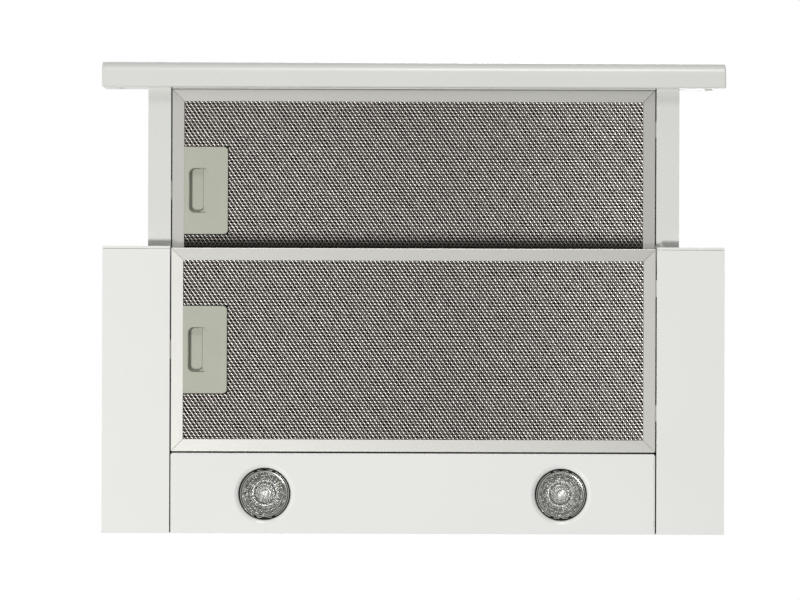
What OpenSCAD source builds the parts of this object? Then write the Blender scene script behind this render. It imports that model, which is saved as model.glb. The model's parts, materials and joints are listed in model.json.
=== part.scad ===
// Pull-out range hood, drawn with its drawer pulled out.
// Origin: middle of the wall face at the underside. +Z is up, and the front looks along -Y.

/* [Lower section] */
// Width of a side panel seen from below
wing_w = 65; // [60:1:90]
// Depth of the lamp panel
lamp_panel_d = 76.5; // [76:0.5:100]
// Height of the lower section
low_h = 48; // [47:1:60]
// Thickness of the steel sheet
sheet = 1; // [0.8:0.1:1.2]
// Width of the hem along the front edge of a side panel
hem_w = 2.4; // [2:0.1:6]
// Width of the seam behind that hem
hem_gap = 0.3; // [0.2:0.1:0.6]
// Height of the low strip in front of the drawer rails
strip_h = 3; // [2:0.5:8]
// Radius of a cabinet screw hole
cabinet_hole_r = 2.25; // [2:0.05:3]
// Distance of the cabinet screw holes from the sides of the body
cabinet_hole_in = 15; // [10:1:20]
// Distance of the rear cabinet screw holes from the wall
cabinet_hole_back = 40; // [30:1:60]
// Distance between the rear and the front cabinet screw holes
cabinet_hole_pitch = 190; // [150:1:200]

/* [Upper housing] */
// Height of the top cover above the underside
housing_h = 172; // [170:1:220]
// Distance of the upper housing behind the front edge
housing_set = 14; // [12:1:20]
// Width of the flange at the top of a side wall
flange_w = 12; // [10:1:20]
// Number of cover screws along each side
cover_screws_n = 4; // [3:1:6]

/* [Grease filters] */
// Width of a filter
filter_w = 466.4; // [440:0.2:470]
// Depth of a filter
filter_d = 196; // [180:1:200]
// Thickness of a filter
filter_t = 9; // [8:0.5:10]
// Width of the filter's frame strip
frame_w = 12; // [10:0.5:16]
// Wall of the filter's frame
frame_wall = 0.8; // [0.6:0.1:1]
// Gap between two mitred frame bars
mitre_gap = 0.1; // [0.1:0.05:0.4]
// Gap between a filter and the ledges at its sides
filter_gap = 0.8; // [0.6:0.1:1.5]
// Gap in front of the main filter, behind the body's front edge
filter_inset = 1.5; // [0.4:0.1:3]
// Seam between the main filter and the lamp panel
rear_seam = 2; // [1:0.1:3]
// Thickness of the net
net_t = 0.6; // [0.4:0.1:0.8]
// Number of openings along a row of the net
net_cols = 18; // [10:1:20]
// Number of rows in the net
net_rows = 8; // [6:2:12]
// Width of a strand of the net
strand_w = 3; // [2:0.5:5]
// Height of the ledge tabs above the ledge they rest on
tab_lift = 0.3; // [0.3:0.1:0.6]
// Reach of the tabs and the latch tongue beyond the ledge's edge
tab_reach = 5; // [4:0.5:7]
// Width of a fixed tab
tab_w = 16; // [10:1:30]
// Distance of the fixed tabs from the middle of the filter
tab_y = 60; // [40:1:75]

/* [Filter latches] */
// Width of the grip plate
grip_w = 42; // [40:1:50]
// Depth of the grip plate
grip_d = 84; // [76:1:100]
// Radius of the grip plate's two outer corners
grip_r = 4; // [2:0.5:8]
// Distance of the finger window from the filter's frame
window_in = 4.6; // [4:0.1:8]
// Width of the finger window
window_w = 19.5; // [18:0.5:24]
// Depth of the finger window
window_d = 43; // [38:1:50]
// Radius of the finger window's corners
window_r = 5.5; // [4:0.5:7]
// Travel of the latch
latch_travel = 5; // [5:0.5:7]
// Wall of the latch cup
cup_wall = 1.4; // [1:0.1:1.8]
// Width of the latch tongue
tongue_w = 18; // [12:1:24]
// Thickness of the latch tongue and of the fixed tabs
tongue_t = 1.5; // [1:0.1:2]
// Running clearance of the latch
latch_gap = 0.3; // [0.25:0.05:0.4]
// Outer radius of the latch spring
spring_r = 1.6; // [1.4:0.1:1.8]

/* [Drawer] */
// How far the drawer is pulled out, which is its whole travel
travel = 152; // [120:1:156]
// Gap between the closed front bar and the body
bar_gap = 1; // [1:0.1:2]
// Height of the drawer's underside above the top of the main filter
drawer_lift = 3; // [2.5:0.1:4]
// Height of the drawer
drawer_h = 24; // [22:1:25]
// Width of a drawer rail seen from below
rail_w = 22; // [20:1:26]
// Gap between a drawer rail and the side wall
rail_gap = 0.5; // [0.4:0.1:0.8]
// Distance of the shut drawer from the wall
drawer_back = 28; // [27:1:32]
// Gap between the front bar and the drawer's filter
bar_seam = 1.1; // [1:0.1:3]
// Width of the drawer's rear rail
rear_rail_w = 6; // [5:0.5:6.5]
// Height of the drawer's rear rail
rear_rail_h = 9; // [6:1:11]
// Gap between the filter and the drawer's rear rail
rear_rail_gap = 0.5; // [0.4:0.1:0.8]

/* [Front bar] */
// How far the front bar reaches beyond the body at each side
bar_over = 1; // [0:0.5:4]
// Depth of the front bar
bar_d = 24.5; // [20:0.5:30]
// Height of the front bar
bar_h = 46; // [40:1:46]
// Wall of the front bar
bar_wall = 1.5; // [1.2:0.1:2]
// Radius of the bar's lower front edge
bar_low_r = 12; // [8:0.5:14]
// Radius of the bar's upper front edge
bar_top_r = 8; // [5:0.5:9]
// Radius of the bar's rear edges
bar_rear_r = 2; // [1.8:0.1:3]
// Thickness of an end cap
cap_t = 2; // [1.5:0.1:3]
// Length of an end cap's plug
plug_l = 8; // [5:0.5:12]
// Distance of a bar bumper from the end of the bar
bumper_in = 15; // [10:1:30]
// Radius of a bar bumper
bumper_r = 4; // [3:0.5:6]
// Thickness of a bar bumper
bumper_t = 0.7; // [0.4:0.1:0.7]

/* [Slides] */
// Thickness of a ball slide
slide_t = 11; // [10.8:0.1:12]
// Height of a ball slide
slide_h = 26; // [25.5:0.5:26]
// Thickness of the slide's steel
slide_sheet = 1.2; // [1:0.1:1.2]
// Diameter of a ball
ball_d = 3.5; // [3.4:0.1:3.6]
// Running clearance of a ball
ball_gap = 0.05; // [0.05:0.01:0.09]
// Distance of the fixed rail from the wall
rail_back = 20; // [16:1:26]
// Distance of the moving runner behind the front bar
runner_in = 8; // [5:1:13]
// Length of the ball cage
cage_l = 76; // [60:1:78]
// Thickness of the ball cage
cage_t = 0.6; // [0.5:0.05:0.7]
// Number of balls along one arm of a cage
balls_n = 5; // [3:1:7]

/* [Lamps] */
// Distance of a lamp from the middle of the hood
lamp_x = 142.5; // [100:0.5:180]
// Distance of a lamp in front of the lamp panel's middle
lamp_off = -0.25; // [-1:0.25:2.5]
// Outer radius of a lamp ring
ring_r = 24.4; // [24:0.1:25]
// Inner radius of a lamp ring
glass_r = 20.7; // [19:0.1:21]
// Width of the notches in a lamp ring
notch_w = 17; // [12:0.5:20]
// Length of a reflector bulb
bulb_l = 50; // [46:1:54]
// Depth of the dish in the lamp panel
dish_h = 2.5; // [1.5:0.1:4]
// Radius of the dish at the underside
dish_r = 28.4; // [27:0.1:29]
// Height of the lamp box
lamp_box_h = 82; // [78:1:84]
// Height of the lamp panel's front upstand
upstand_h = 8; // [5:0.5:9]

/* [Blower] */
// Distance of the fan axis from the wall
fan_back = 150; // [140:1:160]
// Distance of the fan axis below the top cover
fan_drop = 65; // [63:1:67]
// Width of the scroll
scroll_w = 200; // [190:1:220]
// Wall of the scroll
scroll_wall = 1.5; // [1.2:0.1:2]
// Radius of the scroll at its tongue
scroll_r0 = 50; // [49:0.5:52]
// Radius of the scroll at its outlet
scroll_r1 = 58; // [56:0.5:60]
// Outer radius of an impeller
impeller_r = 45; // [40:0.5:46]
// Length of an impeller
impeller_l = 56; // [50:1:58]
// Depth of an impeller blade
blade_d = 9; // [7:0.5:10]
// Number of blades of an impeller
blades_n = 30; // [24:1:36]
// Radius of an air inlet
inlet_r = 38; // [34:0.5:42]
// Radius of the motor
motor_r = 34; // [30:0.5:36]
// Length of the motor's middle
motor_l = 60; // [54:1:62]
// Radius of the motor shaft
shaft_r = 4; // [3:0.5:5]
// Running clearance of the shaft in a bearing
shaft_gap = 0.05; // [0.02:0.01:0.09]

/* [Outlet] */
// Outer radius of the outlet spigot
spigot_r = 59.75; // [58.5:0.25:60]
// Height of the outlet collar
collar_h = 25; // [22:1:40]
// Wall of the collar
collar_wall = 1.5; // [1.2:0.1:2]
// Radius of the collar's flange
collar_flange_r = 68; // [66:0.5:72]
// Height of the flaps above the collar's foot
flap_lift = 10; // [8:0.5:14]
// Thickness of a flap
flap_t = 1.2; // [1:0.1:1.5]
// Radius of the flap pin
pin_r = 1.5; // [1.2:0.1:1.8]
// Running clearance of a flap on its pin
pin_gap = 0.06; // [0.03:0.01:0.09]

/* [Controls] */
// Distance of the speed control from the middle of the hood
speed_x = 120; // [100:1:130]
// Travel of the speed control
speed_travel = 24; // [16:1:30]
// Distance of the light control from the middle of the hood
light_x = 190; // [185:1:200]
// Travel of the light control
light_travel = 10; // [6:1:14]
// Width of a control knob
knob_w = 14; // [10:0.5:18]
// Height of a control knob
knob_h = 6; // [5:0.5:6.5]
// Depth of a control knob
knob_d = 3.6; // [3:0.1:3.8]

/* [Hidden] */
$fn = 64;
eps = 0.01;

// Lines across the hood, each measured from its middle
open_x = filter_w / 2 + filter_gap;
body_x = open_x + wing_w;
bar_w = 2 * (body_x + bar_over);
rail_x = open_x + rail_w;
wall_x = rail_x + rail_gap;
wall_out = wall_x + sheet;
side_x = wall_x - slide_t;

// Lines along the depth
body_d = filter_inset + filter_d + rear_seam + lamp_panel_d;
lamp_back = lamp_panel_d / 2 + lamp_off;
housing_y = -body_d + housing_set;
filter_y = -body_d + filter_inset + filter_d / 2;
panel_y = -lamp_panel_d;
drawer_y = -body_d - bar_gap - travel;
side_l = body_d + bar_gap - drawer_back;
front_filter_y = drawer_y + bar_seam + filter_d / 2;
rear_rail_y = front_filter_y + filter_d / 2 + rear_rail_gap;
deck_l = rear_rail_y + rear_rail_w - drawer_y;
fan_y = -fan_back;

// Heights
drawer_z = filter_t + drawer_lift;
deck_z = drawer_z + drawer_h;
slide_lift = 0.5;
slide_z = drawer_z + sheet + slide_lift + slide_h / 2;
roof_z = housing_h - sheet;
fan_z = roof_z - fan_drop;
screw_gap = 4;
head_h = 2.2;
head_r = 3.5;
screw_r = 1.6;
screw_l = 8;

// Box between two corners
module box(low, high) {
    translate(low) cube(high - low);
}

// The same shape on the left side
module left() {
    mirror([1, 0, 0]) children();
}

// Extrudes an outline of Y and Z along X, centred on the middle
module across(width) {
    translate([-width / 2, 0, 0]) rotate([90, 0, 90]) linear_extrude(width) children();
}

// Cylinder along X from its middle
module rod_x(radius, length) {
    rotate([0, 90, 0]) cylinder(r = radius, h = length, center = true);
}

// Cylinder that starts at the origin and runs to the rear
module rod_y(radius, length) {
    rotate([-90, 0, 0]) cylinder(r = radius, h = length);
}

// Pan-head screw with its head above the origin and its shank below
module screw() {
    cylinder(r = head_r, h = head_h);
    translate([0, 0, -screw_l]) cylinder(r = screw_r, h = screw_l + eps);
}

// ---- Lower section ----

cabinet_x = body_x - cabinet_hole_in;
cabinet_ys = [-cabinet_hole_back, -cabinet_hole_back - cabinet_hole_pitch];
strip_x = wall_x;

module side_panel() {
    box([open_x, -body_d + hem_w + hem_gap, 0], [body_x, 0, sheet]);
    box([body_x - sheet, -body_d, 0], [body_x, 0, low_h]);
    box([wall_out, -sheet, 0], [body_x, 0, low_h]);
    box([open_x, -body_d, 0], [body_x, -body_d + hem_w, sheet]);
    box([open_x, -body_d, 0], [strip_x + eps, -body_d + sheet, strip_h]);
    box([strip_x, -body_d, 0], [body_x, -body_d + sheet, low_h]);
    difference() {
        box([wall_out, -body_d, low_h - sheet], [body_x, 0, low_h]);
        for (y = cabinet_ys)
            translate([cabinet_x, y, low_h - 2 * sheet]) cylinder(r = cabinet_hole_r, h = 3 * sheet);
    }
}

module left_side_panel() {
    color("whitesmoke") left() side_panel();
}

module right_side_panel() {
    color("whitesmoke") side_panel();
}

// ---- Upper housing ----

cover_screw_step = (housing_set - body_d + 2 * flange_w) / (cover_screws_n - 1);
cover_screw_ys = [for (i = [0:cover_screws_n - 1]) -flange_w + i * cover_screw_step];
cover_screw_x = wall_x - flange_w / 2;

module side_wall() {
    box([wall_x, housing_y, sheet], [wall_out, -sheet, roof_z]);
    difference() {
        box([wall_x - flange_w, housing_y, roof_z - sheet], [wall_out, -sheet, roof_z]);
        for (y = cover_screw_ys)
            translate([cover_screw_x, y, roof_z - 2 * sheet]) cylinder(r = screw_r, h = 3 * sheet);
    }
}

module left_wall() {
    color("gainsboro") left() side_wall();
}

module right_wall() {
    color("gainsboro") side_wall();
}

module rear_wall() {
    color("gainsboro") box([-wall_out, -sheet, sheet], [wall_out, 0, roof_z]);
}

module front_wall() {
    color("gainsboro")
        box([-wall_out, housing_y - sheet, low_h - sheet], [wall_out, housing_y, roof_z]);
}

gland_r = 8;
gland_gap = 0.2;
cable_r = 4.25;
gland_in = 56.5;
gland_x = gland_in - wall_x;
gland_y = -44;

module top_cover() {
    color("gainsboro") difference() {
        box([-wall_out, housing_y - sheet, roof_z], [wall_out, 0, housing_h]);
        translate([0, collar_y, roof_z - sheet]) cylinder(r = spigot_r - collar_wall, h = 3 * sheet);
        translate([gland_x, gland_y, roof_z - sheet])
            cylinder(r = gland_r + gland_gap, h = 3 * sheet);
        for (side = [-1, 1], y = cover_screw_ys)
            translate([side * cover_screw_x, y, roof_z - sheet])
                cylinder(r = screw_r + gland_gap, h = 3 * sheet);
    }
}

module housing_screws() {
    color("silver") {
        for (side = [-1, 1], y = cover_screw_ys)
            translate([side * cover_screw_x, y, housing_h]) screw();
    }
}

// ---- Controls ----

fascia_y = -body_d + 4;
fascia_z = deck_z + 1.2;
knob_z = (fascia_z + low_h) / 2;
stem_w = 6;
stem_h = 2.4;
stem_l = 4;
stem_gap = 0.4;
block_d = 12;
block_over = 4;

// Slot that the stem of a sliding control runs in
module stem_slot(x, length, depth) {
    low_x = x - stem_w / 2 - stem_gap;
    high_x = x + stem_w / 2 + stem_gap + length;
    half_h = stem_h / 2 + stem_gap;
    box([low_x, fascia_y - eps, knob_z - half_h], [high_x, fascia_y + depth, knob_z + half_h]);
}

module fascia() {
    color("whitesmoke") difference() {
        union() {
            box([-wall_x, fascia_y, fascia_z], [wall_x, fascia_y + sheet, low_h]);
            box([-wall_x, fascia_y, low_h - sheet], [wall_x, housing_y - sheet, low_h]);
        }
        stem_slot(speed_x, speed_travel, 2 * sheet);
        stem_slot(light_x, light_travel, 2 * sheet);
    }
}

module switch_block() {
    low_x = speed_x - stem_w / 2 - block_over;
    high_x = light_x + light_travel + stem_w / 2 + block_over;
    color("dimgray") difference() {
        box([low_x, fascia_y + sheet, fascia_z + 0.5],
            [high_x, fascia_y + sheet + block_d, low_h - sheet]);
        stem_slot(speed_x, speed_travel, sheet + stem_l + stem_gap);
        stem_slot(light_x, light_travel, sheet + stem_l + stem_gap);
    }
}

module control(x) {
    knob_gap = 0.3;
    front = fascia_y - knob_gap;
    ridge_r = 0.8;
    difference() {
        union() {
            box([x - knob_w / 2, front - knob_d, knob_z - knob_h / 2],
                [x + knob_w / 2, front, knob_z + knob_h / 2]);
            box([x - stem_w / 2, front - eps, knob_z - stem_h / 2],
                [x + stem_w / 2, fascia_y + sheet + stem_l, knob_z + stem_h / 2]);
        }
        for (i = [-1, 0, 1])
            translate([x + i * 3, front - knob_d, knob_z - knob_h]) cylinder(r = ridge_r, h = 2 * knob_h);
    }
}

module speed_slider() {
    color("dimgray") control(speed_x);
}

module light_slider() {
    color("dimgray") control(light_x);
}

// ---- Ball slides ----

slide_in = side_x;
slide_half = slide_h / 2;
race_half = slide_half - slide_sheet - ball_gap - ball_d / 2;
runner_half = race_half - ball_d / 2 - ball_gap;
ball_in = 3.8;
ball_x = slide_in + slide_sheet + ball_in;
lip_gap = 0.1;
lip_in = ball_x - ball_d / 2 - lip_gap;
lip_out = ball_x + ball_d / 2 + lip_gap;
low_lip = 1.2;
lip_clear = 0.6;
cage_web_x = lip_out + slide_sheet + 0.5;
cage_gap = 0.05;

module rail_section(low_y, high_y) {
    box([wall_x - slide_sheet, low_y, slide_z - slide_half], [wall_x, high_y, slide_z + slide_half]);
    for (s = [-1, 1]) {
        edge = s * slide_half;
        under = s * (slide_half - slide_sheet);
        lip_end = s * (runner_half + lip_clear);
        box([lip_in - slide_sheet, low_y, slide_z + min(edge, under)],
            [wall_x, high_y, slide_z + max(edge, under)]);
        box([lip_in - slide_sheet, low_y, slide_z + min(edge, lip_end)],
            [lip_in, high_y, slide_z + max(edge, lip_end)]);
    }
}

module slide_rail() {
    rail_section(housing_y, -rail_back);
}

module left_slide_rail() {
    color("silver") left() slide_rail();
}

module right_slide_rail() {
    color("silver") slide_rail();
}

module runner_section(low_y, high_y) {
    inner = runner_half - slide_sheet;
    box([slide_in, low_y, slide_z - runner_half],
        [slide_in + slide_sheet, high_y, slide_z + runner_half]);
    for (s = [-1, 1]) {
        box([slide_in, low_y, slide_z + min(s * inner, s * runner_half)],
            [lip_out + slide_sheet, high_y, slide_z + max(s * inner, s * runner_half)]);
        lip_end = runner_half + low_lip;
        box([lip_out, low_y, slide_z + min(s * inner, s * lip_end)],
            [lip_out + slide_sheet, high_y, slide_z + max(s * inner, s * lip_end)]);
    }
}

module slide_runner() {
    runner_section(drawer_y + runner_in, drawer_y + side_l);
}

module left_slide_runner() {
    color("silver") left() slide_runner();
}

module right_slide_runner() {
    color("silver") slide_runner();
}

cage_in = 2;
cage_end = 6;
cage_y = housing_y + cage_in;
ball_step = (cage_l - 2 * cage_end) / (balls_n - 1);
ball_ys = [for (i = [0:balls_n - 1]) cage_y + cage_end + i * ball_step];

module ball_cage() {
    arm = race_half + cage_t / 2;
    color("silver") difference() {
        union() {
            box([cage_web_x, cage_y, slide_z - arm], [cage_web_x + cage_t, cage_y + cage_l, slide_z + arm]);
            for (s = [-1, 1])
                box([lip_in + 0.3, cage_y, slide_z + s * race_half - cage_t / 2],
                    [cage_web_x + cage_t, cage_y + cage_l, slide_z + s * race_half + cage_t / 2]);
        }
        for (s = [-1, 1], y = ball_ys)
            translate([ball_x, y, slide_z + s * race_half - cage_t])
                cylinder(r = ball_d / 2 + cage_gap, h = 2 * cage_t);
    }
    color("lightgray") for (s = [-1, 1], y = ball_ys)
        translate([ball_x, y, slide_z + s * race_half]) sphere(d = ball_d);
}

module left_ball_cage() {
    left() ball_cage();
}

module right_ball_cage() {
    ball_cage();
}

// ---- Lamps ----

ring_gap = 0.2;
hole_r = ring_r + ring_gap;
ring_lip = 1.6;
barrel_t = 1.2;
barrel_h = 12;
panel_x = open_x - 1;
box_x = panel_x - sheet;
holder_r = 11;
holder_h = 20;

// Shallow dish round a lamp, with the lamp's hole in its floor
module dish_cut() {
    rotate_extrude() polygon([
        [0, -eps], [dish_r, -eps], [hole_r, dish_h], [hole_r, dish_h + 2 * sheet], [0, dish_h + 2 * sheet]
    ]);
}

module lamp_panel() {
    color("whitesmoke") difference() {
        union() {
            box([-panel_x, panel_y, 0], [panel_x, 0, sheet]);
            box([-panel_x, panel_y, 0], [panel_x, panel_y + sheet, upstand_h]);
            for (s = [-1, 1])
                box([s > 0 ? box_x : -panel_x, panel_y, 0], [s > 0 ? panel_x : -box_x, -sheet, upstand_h]);
            for (s = [-1, 1]) translate([s * lamp_x, -lamp_back, 0])
                cylinder(r = dish_r + sheet, h = dish_h + sheet);
        }
        for (s = [-1, 1]) translate([s * lamp_x, -lamp_back, 0]) dish_cut();
    }
}

lamp_box_y = panel_y + 6;

module lamp_box() {
    color("gainsboro") difference() {
        box([-box_x, lamp_box_y, sheet], [box_x, -sheet, lamp_box_h]);
        box([-box_x + sheet, lamp_box_y + sheet, 0], [box_x - sheet, 0, lamp_box_h - sheet]);
    }
}

ring_z = dish_h - 0.9;
rim_z = dish_h + 0.6;
rest_z = dish_h + sheet;
barrel_r = ring_r - barrel_t;

// Ring in the lamp's hole, held by a lip above the panel, with two notches in its face
module lamp_ring() {
    notch_d = 1.8;
    difference() {
        rotate_extrude() polygon([
            [glass_r, ring_z], [ring_r - 1, ring_z], [ring_r, ring_z + 0.7], [ring_r, rest_z],
            [ring_r + ring_lip, rest_z], [ring_r + ring_lip, rest_z + 0.8], [ring_r, rest_z + 0.8],
            [ring_r, barrel_h], [barrel_r, barrel_h], [barrel_r, rim_z], [glass_r, rim_z]
        ]);
        for (s = [-1, 1])
            box([-notch_w / 2, s > 0 ? ring_r - notch_d : -ring_r - 1, 0],
                [notch_w / 2, s > 0 ? ring_r + 1 : notch_d - ring_r, rim_z - 0.2]);
    }
}

module lamp_rings() {
    color("silver") for (s = [-1, 1]) translate([s * lamp_x, -lamp_back, 0]) lamp_ring();
}

bulb_r = barrel_r - ring_gap;
bulb_z = rim_z;

// Reflector bulb: a cupped mirror closed by a front glass, with a narrow base
module bulb() {
    base_r = 8;
    base_l = 14;
    rim_l = 3;
    cup_l = bulb_l - base_l - rim_l;
    color("lightgray") translate([0, 0, bulb_z]) rotate_extrude() polygon([
        [0, 0], [bulb_r, 0], [bulb_r, rim_l],
        for (i = [1:8]) let (t = i / 8) [
            base_r + (bulb_r - base_r) * sqrt(1 - t * t), rim_l + cup_l * t
        ],
        [base_r, bulb_l], [0, bulb_l]
    ]);
}

module left_bulb() {
    translate([-lamp_x, -lamp_back, 0]) bulb();
}

module right_bulb() {
    translate([lamp_x, -lamp_back, 0]) bulb();
}

// Lamp holders on brackets that hang from the top of the lamp box
module lamp_holders() {
    base_z = bulb_z + bulb_l;
    post = 6;
    color("ivory") for (s = [-1, 1]) translate([s * lamp_x, -lamp_back, 0]) {
        translate([0, 0, base_z]) cylinder(r = holder_r, h = holder_h);
        box([-post, -post, base_z + holder_h - eps], [post, post, lamp_box_h - sheet]);
    }
}

// ---- Blower ----

tongue_deg = 120;
chute_low = scroll_r0 - 2;
chute_u = -2 * (spigot_r - collar_wall) - 2 * scroll_wall - 0.5 + scroll_r1;
collar_y = fan_y + (chute_u + scroll_r1) / 2;
function spiral_r(deg) = scroll_r0 + (scroll_r1 - scroll_r0) * (deg - tongue_deg) / (360 - tongue_deg);

// Outline of the scroll about its axis: a spiral that opens into a wide outlet at the top
function scroll_points(inset, top) = [
    for (i = [0:40]) let (a = tongue_deg + i * (360 - tongue_deg) / 40, r = spiral_r(a) - inset)
        [r * cos(a), r * sin(a)],
    [scroll_r1 - inset, top], [chute_u + inset, top], [chute_u + inset, chute_low + inset],
    [scroll_r0 * cos(tongue_deg) + inset, chute_low + inset]
];

module scroll_wrap() {
    inner_w = scroll_w - 2 * scroll_wall;
    color("silver") translate([0, fan_y, fan_z]) across(inner_w) difference() {
        polygon(scroll_points(0, roof_z - fan_z));
        polygon(scroll_points(scroll_wall, roof_z - fan_z + 1));
    }
}

// The two sides of the scroll, each with an air inlet
module scroll_plates() {
    color("silver") for (s = [-1, 1])
        translate([s * (scroll_w - scroll_wall) / 2, fan_y, fan_z]) across(scroll_wall) difference() {
            polygon(scroll_points(0, roof_z - fan_z));
            circle(r = inlet_r);
        }
}

bell_r = 20;
bell_l = 6;
bearing_r = 8;
bracket_w = 16;
bracket_t = 2;
spoke_w = 8;

module motor() {
    color("slategray") translate([0, fan_y, fan_z]) difference() {
        union() {
            rod_x(motor_r, motor_l);
            rod_x(bell_r, motor_l + 2 * bell_l);
        }
        rod_x(bearing_r, motor_l + 3 * bell_l);
    }
}

// Strap round the motor with three arms that reach the scroll
module motor_bracket() {
    color("gainsboro") translate([0, fan_y, fan_z]) across(bracket_w) difference() {
        intersection() {
            union() {
                circle(r = motor_r + bracket_t);
                for (a = [165, 255, 345])
                    rotate(a) translate([0, -spoke_w / 2]) square([scroll_r1, spoke_w]);
            }
            polygon(scroll_points(scroll_wall, roof_z - fan_z));
        }
        circle(r = motor_r);
    }
}

module shaft_bearings() {
    color("peru") translate([0, fan_y, fan_z]) for (s = [-1, 1])
        translate([s * (motor_l + bell_l) / 2, 0, 0]) difference() {
            rod_x(bearing_r, bell_l);
            rod_x(shaft_r + shaft_gap, 2 * bell_l);
        }
}

hub_r = 9;
hub_l = 14;
impeller_gap = 2;
disc_t = 1.5;
impeller_x = motor_l / 2 + bell_l + impeller_gap;

module motor_shaft() {
    color("silver") translate([0, fan_y, fan_z]) rod_x(shaft_r, 2 * (impeller_x + hub_l));
}

module impeller() {
    color("gainsboro") translate([impeller_x, fan_y, fan_z]) rotate([0, 90, 0]) {
        difference() {
            union() {
                cylinder(r = impeller_r, h = disc_t);
                cylinder(r = hub_r, h = hub_l);
            }
            translate([0, 0, -eps]) cylinder(r = shaft_r, h = hub_l + 2 * eps);
        }
        translate([0, 0, impeller_l - disc_t]) difference() {
            cylinder(r = impeller_r, h = disc_t);
            translate([0, 0, -eps]) cylinder(r = impeller_r - 2, h = disc_t + 2 * eps);
        }
        for (i = [0:blades_n - 1]) rotate(i * 360 / blades_n)
            translate([impeller_r - 0.5, 0, disc_t - eps]) rotate(28)
                translate([-blade_d, -0.4, 0]) cube([blade_d, 0.8, impeller_l - 2 * disc_t + 2 * eps]);
    }
}

module left_impeller() {
    left() impeller();
}

module right_impeller() {
    impeller();
}

module capacitor() {
    can_r = 13;
    can_l = 46;
    foot = 4;
    can_in = 86.5;
    can_drop = 42;
    foot_h = 12;
    color("whitesmoke") translate([wall_x - can_in, -sheet, roof_z - can_drop]) {
        translate([0, -can_r - foot, 0]) rod_x(can_r, can_l);
        box([-can_l / 2, -can_r - foot, -foot_h / 2], [can_l / 2, 0, foot_h / 2]);
    }
}

module terminal_box() {
    box_w = 70;
    box_d = 32;
    box_h = 28;
    gland_h = 12;
    color("dimgray") difference() {
        union() {
            box([gland_x - box_w / 2, gland_y - box_d / 2, roof_z - box_h],
                [gland_x + box_w / 2, gland_y + box_d / 2, roof_z]);
            translate([gland_x, gland_y, roof_z - eps]) cylinder(r = gland_r, h = gland_h + sheet);
        }
        translate([gland_x, gland_y, roof_z - box_h / 2])
            cylinder(r = cable_r, h = box_h);
    }
}

// Switch that the closed drawer works, on the wall behind the left rail
switch_w = 12;
switch_x = -(open_x + side_x) / 2;
arm_w = 7;
switch_lift = 9.5;
switch_z = drawer_z + switch_lift;
switch_d = 23;
switch_h = 16;
button_r = 2;
button_l = 3;

module drawer_switch() {
    color("dimgray") {
        box([switch_x - switch_w / 2, -sheet - switch_d, switch_z - switch_h / 2],
            [switch_x + switch_w / 2, -sheet, switch_z + switch_h / 2]);
        translate([switch_x, -sheet - switch_d - button_l, switch_z]) rod_y(button_r, button_l + eps);
    }
}

// ---- Outlet ----

flap_z = housing_h + flap_lift;
bore_r = spigot_r - collar_wall;
ledge_w = 3.5;
flap_gap = 0.3;
knuckle_r = pin_r + 1.5;
knuckle_w = 18;
flap_in = knuckle_r + 0.4;

module outlet_collar() {
    flange_t = 2;
    color("dimgray") translate([0, collar_y, housing_h]) difference() {
        union() {
            cylinder(r = spigot_r, h = collar_h);
            cylinder(r = collar_flange_r, h = flange_t);
        }
        translate([0, 0, -eps]) cylinder(r = bore_r, h = collar_h + 2 * eps);
    }
}

// Ledge inside the collar that the closed flaps rest on, and the pin they swing on
module flap_seat() {
    seat_r = bore_r - 0.05;
    ledge_top = flap_z - flap_t / 2 - flap_gap;
    color("dimgray") translate([0, collar_y, 0]) {
        difference() {
            translate([0, 0, ledge_top - 1]) cylinder(r = seat_r, h = 1);
            translate([0, 0, ledge_top - 2]) cylinder(r = bore_r - ledge_w, h = 3);
        }
        translate([0, 1 - seat_r, flap_z]) rod_y(pin_r, 2 * (seat_r - 1));
    }
}

// Half-round flap with two knuckles round the pin; shift moves the knuckles along the pin
module flap(shift) {
    color("silver") translate([0, collar_y, 0]) difference() {
        union() {
            intersection() {
                translate([0, 0, flap_z - flap_t / 2]) cylinder(r = bore_r - 1, h = flap_t);
                box([flap_in, -bore_r, flap_z - flap_t], [bore_r, bore_r, flap_z + flap_t]);
            }
            for (y = [-2, 2 / 3]) translate([0, y * knuckle_w + shift, flap_z]) {
                rod_y(knuckle_r, knuckle_w);
                box([0, 0, -flap_t / 2], [flap_in + eps, knuckle_w, flap_t / 2]);
            }
        }
        translate([0, -bore_r, flap_z]) rod_y(pin_r + pin_gap, 2 * bore_r);
    }
}

module left_flap() {
    left() flap(0);
}

module right_flap() {
    flap(knuckle_w + 2);
}

// ---- Front bar ----

// Section of the bar: Y to the rear, Z up, its rear face on Y = 0
module bar_outline(inset) {
    least_r = 0.3;
    corners = [
        [[-bar_d, 0], [1, 1], bar_low_r], [[-bar_d, bar_h], [1, -1], bar_top_r],
        [[0, 0], [-1, 1], bar_rear_r], [[0, bar_h], [-1, -1], bar_rear_r]
    ];
    difference() {
        translate([-bar_d + inset, inset]) square([bar_d - 2 * inset, bar_h - 2 * inset]);
        for (c = corners) {
            r = max(c[2] - inset, least_r);
            translate(c[0]) scale(c[1]) translate([inset - eps, inset - eps]) difference() {
                square(r + eps);
                translate([r + eps, r + eps]) circle(r = r);
            }
        }
    }
}

foot_w = 24;
bar_screw_xs = [side_x - foot_w * 3 / 4, side_x - foot_w / 4];
bar_screw_z = drawer_z + filter_t + head_r + screw_gap;
bumper_x = bar_w / 2 - bumper_in;
bumper_z = low_h / 2;
plug_gap = 0.2;
plug_wall = 2;

module front_bar() {
    color("whitesmoke") difference() {
        translate([0, drawer_y, 0]) across(bar_w - 2 * cap_t) difference() {
            bar_outline(0);
            bar_outline(bar_wall);
        }
        for (s = [-1, 1], x = bar_screw_xs)
            translate([s * x, drawer_y - 2 * bar_wall, bar_screw_z]) rod_y(screw_r, 3 * bar_wall);
    }
}

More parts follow.
